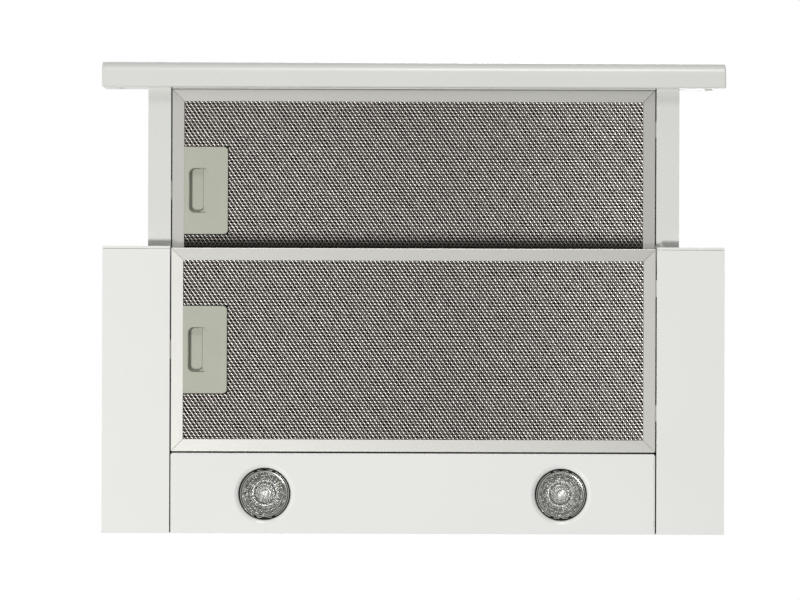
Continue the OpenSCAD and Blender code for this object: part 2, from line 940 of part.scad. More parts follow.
module bar_cap() {
    color("whitesmoke") translate([0, drawer_y, 0]) {
        translate([bar_w / 2 - cap_t / 2, 0, 0]) across(cap_t) bar_outline(0);
        translate([bar_w / 2 - cap_t - plug_l / 2 + eps, 0, 0]) across(plug_l) difference() {
            bar_outline(bar_wall + plug_gap);
            bar_outline(bar_wall + plug_gap + plug_wall);
        }
    }
}

module left_bar_cap() {
    left() bar_cap();
}

module right_bar_cap() {
    bar_cap();
}

module bar_screws() {
    color("silver") for (s = [-1, 1], x = bar_screw_xs)
        translate([s * x, drawer_y + sheet, bar_screw_z]) rotate([-90, 0, 0]) screw();
}

module bar_bumpers() {
    color("dimgray") for (s = [-1, 1])
        translate([s * bumper_x, drawer_y, bumper_z]) rod_y(bumper_r, bumper_t);
}

// ---- Drawer ----

foot_z = filter_t + 2;
lip_h = 6;

module drawer_side() {
    color("whitesmoke") difference() {
        union() {
            box([side_x - sheet, drawer_y, drawer_z], [side_x, drawer_y + side_l, deck_z]);
            box([open_x, drawer_y, drawer_z], [rail_x, drawer_y + side_l, drawer_z + sheet]);
            box([side_x - foot_w, drawer_y, drawer_z + foot_z], [side_x, drawer_y + sheet, deck_z - sheet]);
        }
        for (x = bar_screw_xs)
            translate([x, drawer_y - eps, bar_screw_z]) rod_y(screw_r, 2 * sheet);
    }
}

module left_drawer_side() {
    left() drawer_side();
}

module right_drawer_side() {
    drawer_side();
}

module drawer_deck() {
    half = side_x - sheet;
    color("whitesmoke") {
        box([-half, drawer_y, deck_z - sheet], [half, drawer_y + deck_l, deck_z]);
        box([foot_w - side_x, drawer_y, deck_z - lip_h], [side_x - foot_w, drawer_y + sheet, deck_z]);
    }
}

// Channel behind the filter, with the arm that works the drawer switch
module drawer_rear_rail() {
    half = side_x - sheet;
    low_z = drawer_z + sheet;
    high_z = low_z + rear_rail_h;
    rear = rear_rail_y + rear_rail_w;
    button_front = -sheet - switch_d - button_l;
    arm_end = button_front - 0.5 - travel;
    color("gainsboro") {
        box([-half, rear_rail_y, low_z], [half, rear, low_z + sheet]);
        box([-half, rear_rail_y, low_z], [half, rear_rail_y + sheet, high_z]);
        box([-half, rear - sheet, low_z], [half, rear, high_z]);
        box([switch_x - arm_w / 2, rear - sheet, low_z], [switch_x + arm_w / 2, arm_end, low_z + sheet]);
        box([switch_x - arm_w / 2, arm_end - sheet, low_z], [switch_x + arm_w / 2, arm_end, switch_z + 4]);
    }
}

// ---- Grease filters, drawn about the middle of their underside ----

half_w = filter_w / 2;
half_d = filter_d / 2;
tab_z = sheet + tab_lift;
slot_gap = 0.3;

// One mitred strip along X, its outer edge on Y = 0
module mitred_strip(length, width, low_z, high_z) {
    translate([0, 0, low_z]) linear_extrude(high_z - low_z) polygon([
        [-length / 2 + mitre_gap, 0], [length / 2 - mitre_gap, 0],
        [length / 2 - width - mitre_gap, width], [-length / 2 + width + mitre_gap, width]
    ]);
}

// Frame bar of C section: an outer wall with a lip above and below the filter layers
module frame_bar(length) {
    mitred_strip(length, frame_w, 0, frame_wall);
    mitred_strip(length, frame_w, filter_t - frame_wall, filter_t);
    mitred_strip(length, frame_wall, 0, filter_t);
}

module filter_frame() {
    for (s = [-1, 1]) rotate(s > 0 ? 180 : 0) translate([0, -half_d, 0]) frame_bar(filter_w);
    rotate(90) translate([0, -half_w, 0]) frame_bar(filter_d);
    for (y = [-tab_y, tab_y])
        box([half_w - frame_wall, y - tab_w / 2, tab_z],
            [open_x + tab_reach, y + tab_w / 2, tab_z + tongue_t]);
    difference() {
        rotate(-90) translate([0, -half_w, 0]) frame_bar(filter_d);
        box([-half_w - 1, -tongue_w / 2 - slot_gap, tab_z - slot_gap],
            [-half_w + frame_wall + 1, tongue_w / 2 + slot_gap, tab_z + tongue_t + slot_gap]);
    }
}

grip_x = -half_w + frame_w;
grip_gap = 0.3;
edge_gap = 0.2;
layer_x = half_w - frame_wall - edge_gap;
layer_y = half_d - frame_wall - edge_gap;

// Outline of the layers in the frame, with room for the latch at the left edge
module layer_outline() {
    difference() {
        translate([-layer_x, -layer_y]) square([2 * layer_x, 2 * layer_y]);
        translate([-layer_x - 1, -grip_d / 2 - grip_gap])
            square([grip_x + grip_w + grip_gap + layer_x + 1, grip_d + 2 * grip_gap]);
    }
}

// Expanded sheet: rows of lozenge openings, every second row half a pitch aside
module filter_net() {
    pitch_x = (filter_w - 2 * frame_w) / net_cols;
    pitch_y = (filter_d - 2 * frame_w) / net_rows;
    hole_x = pitch_x / 2 - strand_w / 2;
    hole_y = pitch_y - strand_w;
    keep_x = grip_x + grip_w + grip_gap + hole_x + strand_w;
    keep_y = grip_d / 2 + grip_gap + hole_y;
    translate([0, 0, frame_wall]) linear_extrude(net_t) difference() {
        layer_outline();
        for (row = [0:net_rows - 1], col = [0:net_cols - 1 - row % 2]) {
            x = (col - (net_cols - 1) / 2 + (row % 2) / 2) * pitch_x;
            y = (row - (net_rows - 1) / 2) * pitch_y;
            if (x > keep_x || abs(y) > keep_y)
                translate([x, y]) polygon([[-hole_x, 0], [0, -hole_y / 2], [hole_x, 0], [0, hole_y / 2]]);
        }
    }
}

module filter_core() {
    low_z = frame_wall + net_t;
    translate([0, 0, low_z]) linear_extrude(filter_t - frame_wall - low_z) layer_outline();
}

plate_z = 0.2;
plate_top = filter_t - frame_wall - 0.4;
floor_z = plate_top - sheet;
window_x = grip_x + window_in;
ear_y = window_d / 2 + 2;
ear_w = 7;
ear_x = window_x + 2;
ear_l = 6;
chamber_z = 2;
chamber_end = grip_x + grip_w - 3;

// Square with rounded corners between two corner points
module round_square(low, high, r) {
    size = high - low;
    translate([low[0] + r, low[1]]) square([size[0] - 2 * r, size[1]]);
    translate([low[0], low[1] + r]) square([size[0], size[1] - 2 * r]);
    for (x = [low[0] + r, high[0] - r], y = [low[1] + r, high[1] - r])
        translate([x, y]) circle(r = r);
}

// Grip plate with its finger window, and inside it the room for the slide's ear and its spring
module latch_plate() {
    difference() {
        translate([0, 0, plate_z]) linear_extrude(plate_top - plate_z) intersection() {
            round_square([grip_x - 2 * grip_r, -grip_d / 2], [grip_x + grip_w, grip_d / 2], grip_r);
            translate([grip_x, -grip_d]) square([grip_w + 1, 2 * grip_d]);
        }
        linear_extrude(floor_z)
            round_square([window_x, -window_d / 2], [window_x + window_w, window_d / 2], window_r);
        box([grip_x - 1, -tongue_w / 2 - slot_gap, tab_z - slot_gap],
            [window_x + window_r, tongue_w / 2 + slot_gap, tab_z + tongue_t + slot_gap]);
        box([ear_x - latch_gap, ear_y, chamber_z], [chamber_end, ear_y + ear_w, floor_z]);
        box([window_x + window_w - window_r, -latch_half_d - latch_gap, flange_z - latch_gap],
            [flange_end + latch_travel + latch_gap, latch_half_d + latch_gap, flange_z + flange_t + latch_gap]);
        box([ear_x - latch_gap, window_d / 2 - window_r, chamber_z],
            [ear_x + ear_l + latch_travel + latch_gap, ear_y + eps, floor_z]);
    }
}

slide_in_x = window_x + latch_gap;
flange_z = 1.5;
flange_t = 1;
flange_end = window_x + window_w + 1.5;
latch_slide_w = window_w - latch_travel - 2 * latch_gap;
latch_half_d = window_d / 2 - latch_gap;
slide_low = 0.6;
slide_top = floor_z - latch_gap;

// Sliding cup for the finger, with the tongue that rests on the ledge, a flange that closes the window
// and an ear for the spring
module latch_slide() {
    difference() {
        translate([0, 0, slide_low]) linear_extrude(slide_top - slide_low)
            round_square([slide_in_x, -latch_half_d], [slide_in_x + latch_slide_w, latch_half_d],
                window_r - latch_gap);
        translate([0, 0, -1]) linear_extrude(slide_top - sheet + 1)
            round_square([slide_in_x + cup_wall, -latch_half_d + cup_wall],
                [slide_in_x + latch_slide_w - cup_wall, latch_half_d - cup_wall],
                window_r - latch_gap - cup_wall);
    }
    box([-open_x - tab_reach, -tongue_w / 2, tab_z],
        [slide_in_x + cup_wall, tongue_w / 2, tab_z + tongue_t]);
    box([slide_in_x + latch_slide_w - cup_wall, -latch_half_d, flange_z],
        [flange_end, latch_half_d, flange_z + flange_t]);
    box([ear_x, latch_half_d - cup_wall, chamber_z + latch_gap],
        [ear_x + ear_l, ear_y + ear_w - latch_gap, floor_z - latch_gap]);
}

// Spring of the latch, drawn at its pressed length
module latch_spring() {
    spring_x = ear_x + ear_l + latch_travel + latch_gap;
    length = chamber_end - spring_x;
    translate([spring_x + length / 2, ear_y + ear_w / 2, (chamber_z + floor_z) / 2]) difference() {
        rod_x(spring_r, length);
        rod_x(spring_r - 0.4, length + 1);
    }
}

module at_main() {
    translate([0, filter_y, 0]) children();
}

module at_front() {
    translate([0, front_filter_y, drawer_z]) children();
}

module main_filter_frame() {
    color("silver") at_main() filter_frame();
}

module main_filter_net() {
    color("darkgray") at_main() filter_net();
}

module main_filter_core() {
    color("gray") at_main() filter_core();
}

module main_latch_plate() {
    color("darkkhaki") at_main() latch_plate();
}

module main_latch_spring() {
    color("silver") at_main() latch_spring();
}

module main_latch_slide() {
    color("darkkhaki") at_main() latch_slide();
}

module front_filter_frame() {
    color("silver") at_front() filter_frame();
}

module front_filter_net() {
    color("darkgray") at_front() filter_net();
}

module front_filter_core() {
    color("gray") at_front() filter_core();
}

module front_latch_plate() {
    color("darkkhaki") at_front() latch_plate();
}

module front_latch_spring() {
    color("silver") at_front() latch_spring();
}

module front_latch_slide() {
    color("darkkhaki") at_front() latch_slide();
}

left_side_panel();
right_side_panel();
left_wall();
right_wall();
rear_wall();
front_wall();
top_cover();
fascia();
switch_block();
left_slide_rail();
right_slide_rail();
lamp_panel();
lamp_box();
lamp_rings();
left_bulb();
right_bulb();
lamp_holders();
outlet_collar();
flap_seat();
scroll_wrap();
scroll_plates();
motor();
motor_bracket();
shaft_bearings();
capacitor();
terminal_box();
drawer_switch();
housing_screws();
front_bar();
left_bar_cap();
right_bar_cap();
drawer_deck();
left_drawer_side();
right_drawer_side();
drawer_rear_rail();
left_slide_runner();
right_slide_runner();
bar_screws();
bar_bumpers();
left_ball_cage();
right_ball_cage();
main_filter_frame();
main_filter_net();
main_filter_core();
main_latch_plate();
main_latch_spring();
main_latch_slide();
front_filter_frame();
front_filter_net();
front_filter_core();
front_latch_plate();
front_latch_spring();
front_latch_slide();
motor_shaft();
left_impeller();
right_impeller();
left_flap();
right_flap();
speed_slider();
light_slider();
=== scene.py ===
"""Looks of a built-in range hood whose drawer is pulled out, made around its packed frame.

Laid out as an add-on and run as a script: each group of pieces is one operator, and main() runs them in order.
Everything is in metres, in the frame of the hood: +Z up, the wall at +Y, the drawer towards -Y.
"""

import json
import math

import bmesh
import bpy
import numpy as np
from bpy.props import FloatProperty, FloatVectorProperty, IntProperty, PointerProperty
from bpy.types import Operator, Panel, PropertyGroup
from mathutils import Euler, Matrix, Vector

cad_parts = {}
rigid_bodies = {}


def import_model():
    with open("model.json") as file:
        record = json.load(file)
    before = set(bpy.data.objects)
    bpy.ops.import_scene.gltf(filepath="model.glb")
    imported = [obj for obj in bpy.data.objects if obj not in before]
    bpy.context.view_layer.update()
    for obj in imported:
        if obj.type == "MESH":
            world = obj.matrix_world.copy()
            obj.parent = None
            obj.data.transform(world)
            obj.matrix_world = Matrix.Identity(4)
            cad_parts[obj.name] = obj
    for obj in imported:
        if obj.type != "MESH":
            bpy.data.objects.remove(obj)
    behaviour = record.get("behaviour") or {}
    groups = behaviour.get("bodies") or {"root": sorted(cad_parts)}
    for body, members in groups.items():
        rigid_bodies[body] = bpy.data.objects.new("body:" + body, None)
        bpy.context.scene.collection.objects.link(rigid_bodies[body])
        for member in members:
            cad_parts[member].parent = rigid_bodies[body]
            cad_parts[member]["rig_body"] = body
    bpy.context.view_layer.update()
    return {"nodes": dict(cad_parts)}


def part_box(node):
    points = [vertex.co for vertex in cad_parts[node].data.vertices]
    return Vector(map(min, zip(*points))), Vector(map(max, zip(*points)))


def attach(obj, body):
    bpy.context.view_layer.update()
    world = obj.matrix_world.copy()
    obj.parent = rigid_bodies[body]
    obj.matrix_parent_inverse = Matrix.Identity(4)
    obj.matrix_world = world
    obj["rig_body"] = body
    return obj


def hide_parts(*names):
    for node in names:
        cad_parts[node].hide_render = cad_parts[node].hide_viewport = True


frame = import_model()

bl_info = {
    "name": "Pull-out range hood",
    "version": (1, 0, 0),
    "blender": (4, 5, 0),
    "location": "View3D > Sidebar > Range hood",
    "description": "Finishes and detailed pieces of a pull-out range hood",
    "category": "Object",
}

MM = 0.001
# Point attribute that carries painted light on the filter frames and painted shade in the latch cups
PAINTED_LIGHT_AND_SHADE = "tone"
SAME_POINT = 1e-6


# ---- Colours and shader nodes ----


def linear(code):
    """Scene-linear red, green and blue of an sRGB hex colour, by the sRGB transfer curve."""
    parts = [int(code[i : i + 2], 16) / 255 for i in (0, 2, 4)]
    return tuple(c / 12.92 if c <= 0.04045 else ((c + 0.055) / 1.055) ** 2.4 for c in parts)


def dim(colour, share):
    """A colour scaled to a share of its light."""
    return tuple(c * share for c in colour[:3])


def add(tree, kind, inputs=(), **settings):
    """Adds one shader node, sets its own settings, and fills its inputs with values or with other nodes' outputs."""
    node = tree.nodes.new("ShaderNode" + kind)
    for name, value in settings.items():
        setattr(node, name, value)
    for key, value in dict(inputs).items():
        if isinstance(value, bpy.types.NodeSocket):
            tree.links.new(value, node.inputs[key])
        else:
            node.inputs[key].default_value = value
    return node


class Finish:
    """A new material and its Principled shader. Its textures lie on the object's coordinates, which are its point, or
    on the piece's own UV map, which is its place."""

    def __init__(self, name, base, roughness, metallic=0.0, **constants):
        self.material, self.base = bpy.data.materials.new(name), base
        self.material.use_nodes = True
        self.material.diffuse_color = (*base, 1)
        self.tree = self.material.node_tree
        self.shader = self.tree.nodes["Principled BSDF"]
        constants = {"Base Color": (*base, 1), "Roughness": roughness, "Metallic": metallic, **constants}
        for key, value in constants.items():
            self.shader.inputs[key].default_value = value
        coordinates = add(self.tree, "TexCoord").outputs
        self.point, self.place = coordinates["Object"], coordinates["UV"]

    def value(self, kind, inputs=(), output=0, **settings):
        """The output of a new node."""
        return add(self.tree, kind, inputs, **settings).outputs[output]

    def feed(self, name, source):
        """Links an output to an input of the shader."""
        self.tree.links.new(source, self.shader.inputs[name])

    def shade(self, factor, low, high):
        """The base colour goes from one colour to another with a factor."""
        self.feed("Base Color", self.value("Mix", {0: factor, 6: (*low, 1), 7: (*high, 1)}, 2, data_type="RGBA"))

    def vary(self, factor, low, high):
        """The base colour goes from one share of itself to another with a factor."""
        self.shade(factor, dim(self.base, low), dim(self.base, high))

    def tint(self, share):
        """Multiplies what feeds the base colour by a share."""
        source = self.shader.inputs["Base Color"].links[0].from_socket
        self.feed("Base Color", self.value("VectorMath", {0: source, "Scale": share}, operation="SCALE"))

    def tint_by_tone(self):
        """Multiplies what feeds the base colour by the mesh's own attribute named tone."""
        self.tint(self.value("Attribute", output="Fac", attribute_name=PAINTED_LIGHT_AND_SHADE))

    def sheen(self, factor, low, high):
        """The roughness goes from low to high with a factor."""
        self.feed("Roughness", self.value("MapRange", {"Value": factor, "To Min": low, "To Max": high}))

    def relief(self, height, depth, strength=1.0):
        """Bump of a real depth in metres."""
        self.feed("Normal", self.value("Bump", {"Height": height, "Distance": depth, "Strength": strength}))


# ---- Meshes from arrays ----


def unit(v):
    return v / np.linalg.norm(v, axis=-1, keepdims=True)


def grid_faces(rows, columns, close_rows=False, close_columns=False):
    """Corner numbers of the quads of a grid of points that is rows long and columns wide."""
    r = np.arange(rows if close_rows else rows - 1)[:, None]
    c = np.arange(columns if close_columns else columns - 1)[None, :]
    r2, c2 = (r + 1) % rows, (c + 1) % columns
    corners = [r * columns + c, r * columns + c2, r2 * columns + c2, r2 * columns + c]
    return np.stack([np.broadcast_to(x, (r.size, c.size)) for x in corners], -1).reshape(-1, 4)


def build(name, points, quads, polygons=(), uv=None, smooth=True):
    """A mesh object from points, quads and a few larger polygons. uv gives each point its place on the surface."""
    points = np.asarray(points, np.float32).reshape(-1, 3)
    quads = np.asarray(quads, np.int32).reshape(-1, 4)
    corners = np.concatenate([quads.ravel(), *[np.asarray(p, np.int32) for p in polygons]])
    sizes = np.array([4] * len(quads) + [len(p) for p in polygons], np.int32)
    mesh = bpy.data.meshes.new(name)
    mesh.vertices.add(len(points))
    mesh.vertices.foreach_set("co", points.ravel())
    mesh.loops.add(len(corners))
    mesh.loops.foreach_set("vertex_index", corners.astype(np.int32))
    mesh.polygons.add(len(sizes))
    mesh.polygons.foreach_set("loop_start", np.concatenate([[0], np.cumsum(sizes)[:-1]]).astype(np.int32))
    mesh.polygons.foreach_set("use_smooth", np.full(len(sizes), smooth))
    if uv is not None:
        layer = mesh.uv_layers.new(name="surface")
        layer.uv.foreach_set("vector", np.asarray(uv, np.float32)[corners].ravel())
    mesh.update(calc_edges=True)
    mesh.validate()
    piece = bpy.data.objects.new(name, mesh)
    bpy.context.scene.collection.objects.link(piece)
    return piece


def joined(parts):
    """Points, quads, polygons and surface places of several parts as those of one."""
    start, points, quads, polygons, places = 0, [], [], [], []
    for p, q, caps, uv in parts:
        points.append(p)
        quads.append(q + start)
        polygons += [np.asarray(cap) + start for cap in caps]
        places.append(uv)
        start += len(p)
    return np.concatenate(points), np.concatenate(quads), polygons, np.concatenate(places)


def rounded(corners, radii, steps=5):
    """Closed anticlockwise outline of a polygon whose corners are arcs.
    An arc's centre lies off its corner by radius * (n1 + n2) / (1 + n1.n2), for the normals n1 and n2 of its two
    sides, and its points are the centre plus the radius times the unit vectors from n1 to n2."""
    p = np.asarray(corners, float)
    radius = np.broadcast_to(np.asarray(radii, float), len(p))[:, None]
    back, ahead = unit(p - np.roll(p, 1, 0)), unit(np.roll(p, -1, 0) - p)
    n1, n2 = np.stack([back[:, 1], -back[:, 0]], 1), np.stack([ahead[:, 1], -ahead[:, 0]], 1)
    turn = np.sign(back[:, :1] * ahead[:, 1:] - back[:, 1:] * ahead[:, :1])
    centre = p - turn * radius * (n1 + n2) / (1 + (n1 * n2).sum(1, keepdims=True))
    t = np.linspace(0, 1, steps + 1)[None, :, None]
    spokes = unit(n1[:, None] * (1 - t) + n2[:, None] * t)
    return (centre[:, None] + (turn * radius)[:, None] * spokes).reshape(-1, 2)


def inset(outline, depth):
    """A closed anticlockwise outline moved inwards along its own normals."""
    along = unit(np.roll(outline, -1, 0) - np.roll(outline, 1, 0))
    return outline - depth * np.stack([along[:, 1], -along[:, 0]], 1)


def rectangle(low, high):
    """Corners of a rectangle over the first two coordinates, anticlockwise from the lowest."""
    return [(low[0], low[1]), (high[0], low[1]), (high[0], high[1]), (low[0], high[1])]


def at_height(outline, z):
    """Points of an outline over X and Y at one height."""
    return np.column_stack([outline, np.full(len(outline), z)])


def along_x(outline, x):
    """Points of an outline over Y and Z at one place along X."""
    return np.column_stack([np.full(len(outline), x), outline])


def loft(rings):
    """Closed rings of points joined one to the next, with both ends closed. The places on it run along the rings."""
    rings = np.asarray(rings, float)
    count, size = rings.shape[:2]
    quads = grid_faces(count, size, close_columns=True)
    ends = [np.arange(size)[::-1], np.arange(size) + (count - 1) * size]
    steps = np.linalg.norm(np.diff(rings, axis=0), axis=-1).mean(1)
    along = np.concatenate([[0], np.cumsum(steps)])
    sides = np.linalg.norm(np.diff(rings[count // 2], axis=0), axis=-1)
    across = np.concatenate([[0], np.cumsum(sides)])
    uv = np.stack(np.meshgrid(along, across, indexing="ij"), -1).reshape(-1, 2)
    return rings.reshape(-1, 3), quads, ends, uv


def eased_bar(section, low, high, mitre=0.0, ease=0.4 * MM, steps=3):
    """A bar along X whose ends are rounded: near an end the section shrinks by ease * (1 - cos a) while it moves out
    by ease * sin a. Its ends are cut back by mitre times the section's first coordinate."""
    angles = np.linspace(0, math.pi / 2, steps + 1)
    out, shrink = ease * np.sin(angles), ease * (1 - np.cos(angles))
    stations = [(low + ease - o, d, 1) for o, d in zip(out[::-1], shrink[::-1])]
    stations += [(high - ease + o, d, -1) for o, d in zip(out, shrink)]
    rings = []
    for x, depth, side in stations:
        edge = inset(section, depth)
        rings.append(np.column_stack([x + side * mitre * section[:, 0], edge]))
    return loft(rings)


def revolve(profile, centre, segments=64):
    """A closed profile of radius and height turned round a vertical axis."""
    profile = np.asarray(profile, float)
    a = np.linspace(0, 2 * math.pi, segments, endpoint=False)[:, None]
    r, z = profile[:, 0][None, :], profile[:, 1][None, :]
    points = np.stack([r * np.cos(a), r * np.sin(a), np.broadcast_to(z, (segments, len(profile)))], -1)
    points = points.reshape(-1, 3) + np.asarray(centre, float)
    uv = np.stack(np.broadcast_arrays(a * r, z), -1).reshape(-1, 2)
    return points, grid_faces(segments, len(profile), True, True), [], uv


def sharpen(piece, angle=35):
    """Marks edges sharper than an angle, and weighs normals by area, so that flats stay flat up to their edges."""
    piece.data.set_sharp_from_angle(angle=math.radians(angle))
    flats = piece.modifiers.new("Flat faces stay flat", "WEIGHTED_NORMAL")
    flats.keep_sharp = True


def set_tones(piece, tones):
    """Gives each point of a piece its share of the base colour."""
    piece.data.attributes.new(PAINTED_LIGHT_AND_SHADE, "FLOAT", "POINT").data.foreach_set("value", np.concatenate(tones))


def finish_piece(piece, body, coat, stands_for=()):
    """Gives a piece its material and its body, and hides the nodes that it stands for."""
    piece.data.materials.append(coat)
    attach(piece, body)
    if stands_for:
        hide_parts(*stands_for)


def body_of(node):
    return frame["nodes"][node]["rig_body"]


def span(node):
    """Lowest and highest corner of a node as arrays."""
    low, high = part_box(node)
    return np.array(low), np.array(high)


def eased_copy(node, coat, width, segments=2):
    """A node's own shape with its edges rounded: its triangles are merged, flat ones joined, and edges bevelled."""
    mesh = bpy.data.meshes.new(node + "_eased")
    shape = bmesh.new()
    shape.from_mesh(frame["nodes"][node].data)
    bmesh.ops.remove_doubles(shape, verts=shape.verts, dist=SAME_POINT)
    bmesh.ops.dissolve_limit(shape, angle_limit=math.radians(1), verts=shape.verts, edges=shape.edges)
    bmesh.ops.recalc_face_normals(shape, faces=shape.faces)
    shape.to_mesh(mesh)
    shape.free()
    mesh.polygons.foreach_set("use_smooth", np.ones(len(mesh.polygons), bool))
    piece = bpy.data.objects.new(node + "_eased", mesh)
    bpy.context.scene.collection.objects.link(piece)
    bevel = piece.modifiers.new("Rounded edges", "BEVEL")
    bevel.width, bevel.segments, bevel.limit_method = width, segments, "ANGLE"
    bevel.angle_limit = math.radians(30)
    piece.modifiers.new("Flat faces stay flat", "WEIGHTED_NORMAL")
    finish_piece(piece, body_of(node), coat, [node])


def ease(coat, width, *nodes):
    """Nodes of one finish whose edges are rounded."""
    for node in nodes:
        eased_copy(node, coat, width)


def paint(coat, *nodes):
    """Nodes that keep their own mesh get a procedural material."""
    for node in nodes:
        data = frame["nodes"][node].data
        data.materials.clear()
        data.materials.append(coat)


# ---- Settings that a user would change ----


def colour(label, about, code):
    return FloatVectorProperty(name=label, description=about, default=linear(code), subtype="COLOR", min=0, max=1)


def length(label, about, value):
    return FloatProperty(name=label, description=about, default=value, min=0, unit="LENGTH", precision=5)


class HoodColours(PropertyGroup):
    """Colours of the finishes."""

    enamel: colour("Powder coat", "White coat of the lower section and the lamp panel", "E3E4E0")
    # painted shade: the drawer and the bar get a darker copy of the body's white coat
    drawer: colour("Drawer's coat", "White coat of the drawer and the bar", "D6D7D2")
    sheet: colour("Housing sheet", "Coated sheet of the upper housing", "C9CAC7")
    aluminium: colour("Filter frame", "Brushed aluminium of the filter frames", "BEBDB8")
    net: colour("Net", "Expanded aluminium of the filters", "8C8883")
    # painted shade: the inner mesh gets a dark colour for the shade deep inside the filter
    shaded_wadding: colour("Inner mesh", "Layers of mesh behind the net", "2B2825")
    grip: colour("Grip plates", "Grey-green plastic of the grip plates", "ACAE9F")
    plastic: colour("Black plastic", "Collar, terminal box, switches and sliders", "232425")


class HoodNet(PropertyGroup):
    """Sizes of the expanded nets."""

    pitch: length("Pitch", "Distance between openings along a row", 3.99 * MM)
    row: length("Row pitch", "Distance between rows of openings", 2.95 * MM)
    strand: length("Strand width", "Width of a strand across its flat", 1.15 * MM)
    thickness: length("Strand thickness", "Thickness of the sheet that the net is cut from", 0.35 * MM)
    sway: length("Sway", "How far a strand swings to each side on its way along a row", 0.95 * MM)
    tilt: FloatProperty(
        name="Tilt", description="Angle of a strand's flat to the net", default=math.radians(13), subtype="ANGLE"
    )
    rise: length("Rise", "How far a strand rises from the middle of its swing to one side", 0.045 * MM)
    hidden: length("Hidden edge", "How far the net reaches under the frame", 2 * MM)


class HoodEdges(PropertyGroup):
    """Radii of edges and folds."""

    sheet: length("Sheet edge", "Radius of a sheet's bare edges", 0.3 * MM)
    fold: length("Fold", "Outer radius of a fold in the sheet", 1.2 * MM)
    frame: length("Frame edge", "Radius of the filter frame's outer edges", 1.1 * MM)
    moulding: length("Moulded edge", "Radius of the edges of moulded plastic", 0.45 * MM)
    cap: length("End cap edge", "Radius round the front bar's end caps", 1.2 * MM)


class HoodLamps(PropertyGroup):
    """Facets of the lamp mirrors."""

    spokes: IntProperty(name="Spokes", description="Facets round a mirror", default=44, min=12, max=96)
    rings: IntProperty(name="Rings", description="Facets from a mirror's neck to its rim", default=5, min=2, max=12)
    bulge: length("Bulge", "How far each facet swells out of the mirror", 0.22 * MM)
    capsule: length("Capsule radius", "Radius of the glass capsule in the middle", 6.3 * MM)


class HoodStage(PropertyGroup):
    """Camera and light."""

    distance: length("Camera distance", "Distance of the camera below the underside", 3.4)
    pixels: FloatProperty(name="Pixels per mm", description="Scale of the picture at the underside", default=1.0408)
    key: FloatProperty(name="Key light", description="Strength of the key light, from the lower left", default=318)
    fill: FloatProperty(name="Fill light", description="Strength of the fill light", default=46)
    around: FloatProperty(name="Light around", description="Strength of the light from all round", default=0.14)


GROUPS = {"colours": HoodColours, "net": HoodNet, "edges": HoodEdges, "lamps": HoodLamps, "stage": HoodStage}


def settings(name):
    return getattr(bpy.context.scene, "hood_" + name)


# ---- Finishes ----

# Y of the body's front edge: the nets get painted shadow within 14 mm of it on either side
BODY_SHADOW_Y = -276.5 * MM


def powder_coat(part="body"):
    """Polyester powder coat on steel sheet, baked: semi-gloss white that breaks highlights up into a faint orange peel
    with waves of about 2 mm, and a tone that drifts slightly over a panel."""
    # painted shade: the drawer's coat is the body's white made darker
    base = settings("colours").enamel if part == "body" else settings("colours").drawer
    coat = Finish("Powder coated steel, " + part, tuple(base), 0.4)
    drift = coat.value("TexNoise", {"Vector": coat.point, "Scale": 1 / (140 * MM), "Detail": 1})
    fine = coat.value("TexNoise", {"Vector": coat.point, "Scale": 1 / (9 * MM), "Detail": 3})
    peel = coat.value("TexNoise", {"Vector": coat.point, "Scale": 1 / (2.2 * MM)})
    coat.vary(drift, 0.965, 1.02)
    coat.sheen(fine, 0.25, 0.33)
    coat.relief(peel, 0.012 * MM)
    return coat.material


def coated_sheet():
    """Steel sheet with a thin light grey coil coating: a duller sheen than powder coat, with a faint grain of 0.6 mm
    from the rolls and wiped patches a few centimetres wide."""
    sheet = Finish("Coil coated steel", tuple(settings("colours").sheet), 0.42, 0.35)
    wiped = sheet.value("TexNoise", {"Vector": sheet.point, "Scale": 1 / (45 * MM), "Detail": 4, "Roughness": 0.6})
    grain = sheet.value("TexNoise", {"Vector": sheet.point, "Scale": 1 / (0.6 * MM)})
    sheet.vary(wiped, 0.9, 1.04)
    sheet.sheen(wiped, 0.34, 0.52)
    sheet.relief(grain, 0.006 * MM)
    return sheet.material


def brushed_aluminium(prefix):
    """Aluminium strip brushed along its length: hairlines about 0.15 mm apart that run along the bar, drawn 0.5 mm
    apart so that they show, and a satin sheen that smears highlights across them. Its colour also carries painted
    light: it drifts along a frame and changes at its mitres, lighter where the light falls more strongly, and the
    front filter's frame is a darker copy, as painted shade of its deeper place."""
    # painted shade: the front filter's frame gets a darker copy of the aluminium colour, for its deeper place
    base = dim(settings("colours").aluminium, 1 if prefix == "main" else 0.85)
    strip = Finish("Brushed aluminium, " + prefix, base, 0.47, 1.0, Anisotropic=0.3)
    strip.feed("Tangent", strip.value("Tangent", direction_type="UV_MAP", uv_map="surface"))
    stretched = strip.value("Mapping", {"Vector": strip.place, "Scale": (1 / (30 * MM), 1 / (0.5 * MM), 1)})
    hairs = strip.value("TexNoise", {"Vector": stretched, "Scale": 1, "Detail": 3, "Roughness": 0.65})
    soft = strip.value("TexNoise", {"Vector": strip.place, "Scale": 1 / (35 * MM)})
    strip.vary(hairs, 0.88, 1.08)
    strip.tint_by_tone()
    strip.sheen(strip.value("Math", {0: hairs, 1: soft}, operation="MULTIPLY"), 0.4, 0.54)
    strip.relief(hairs, 0.01 * MM, 0.6)
    return strip.material


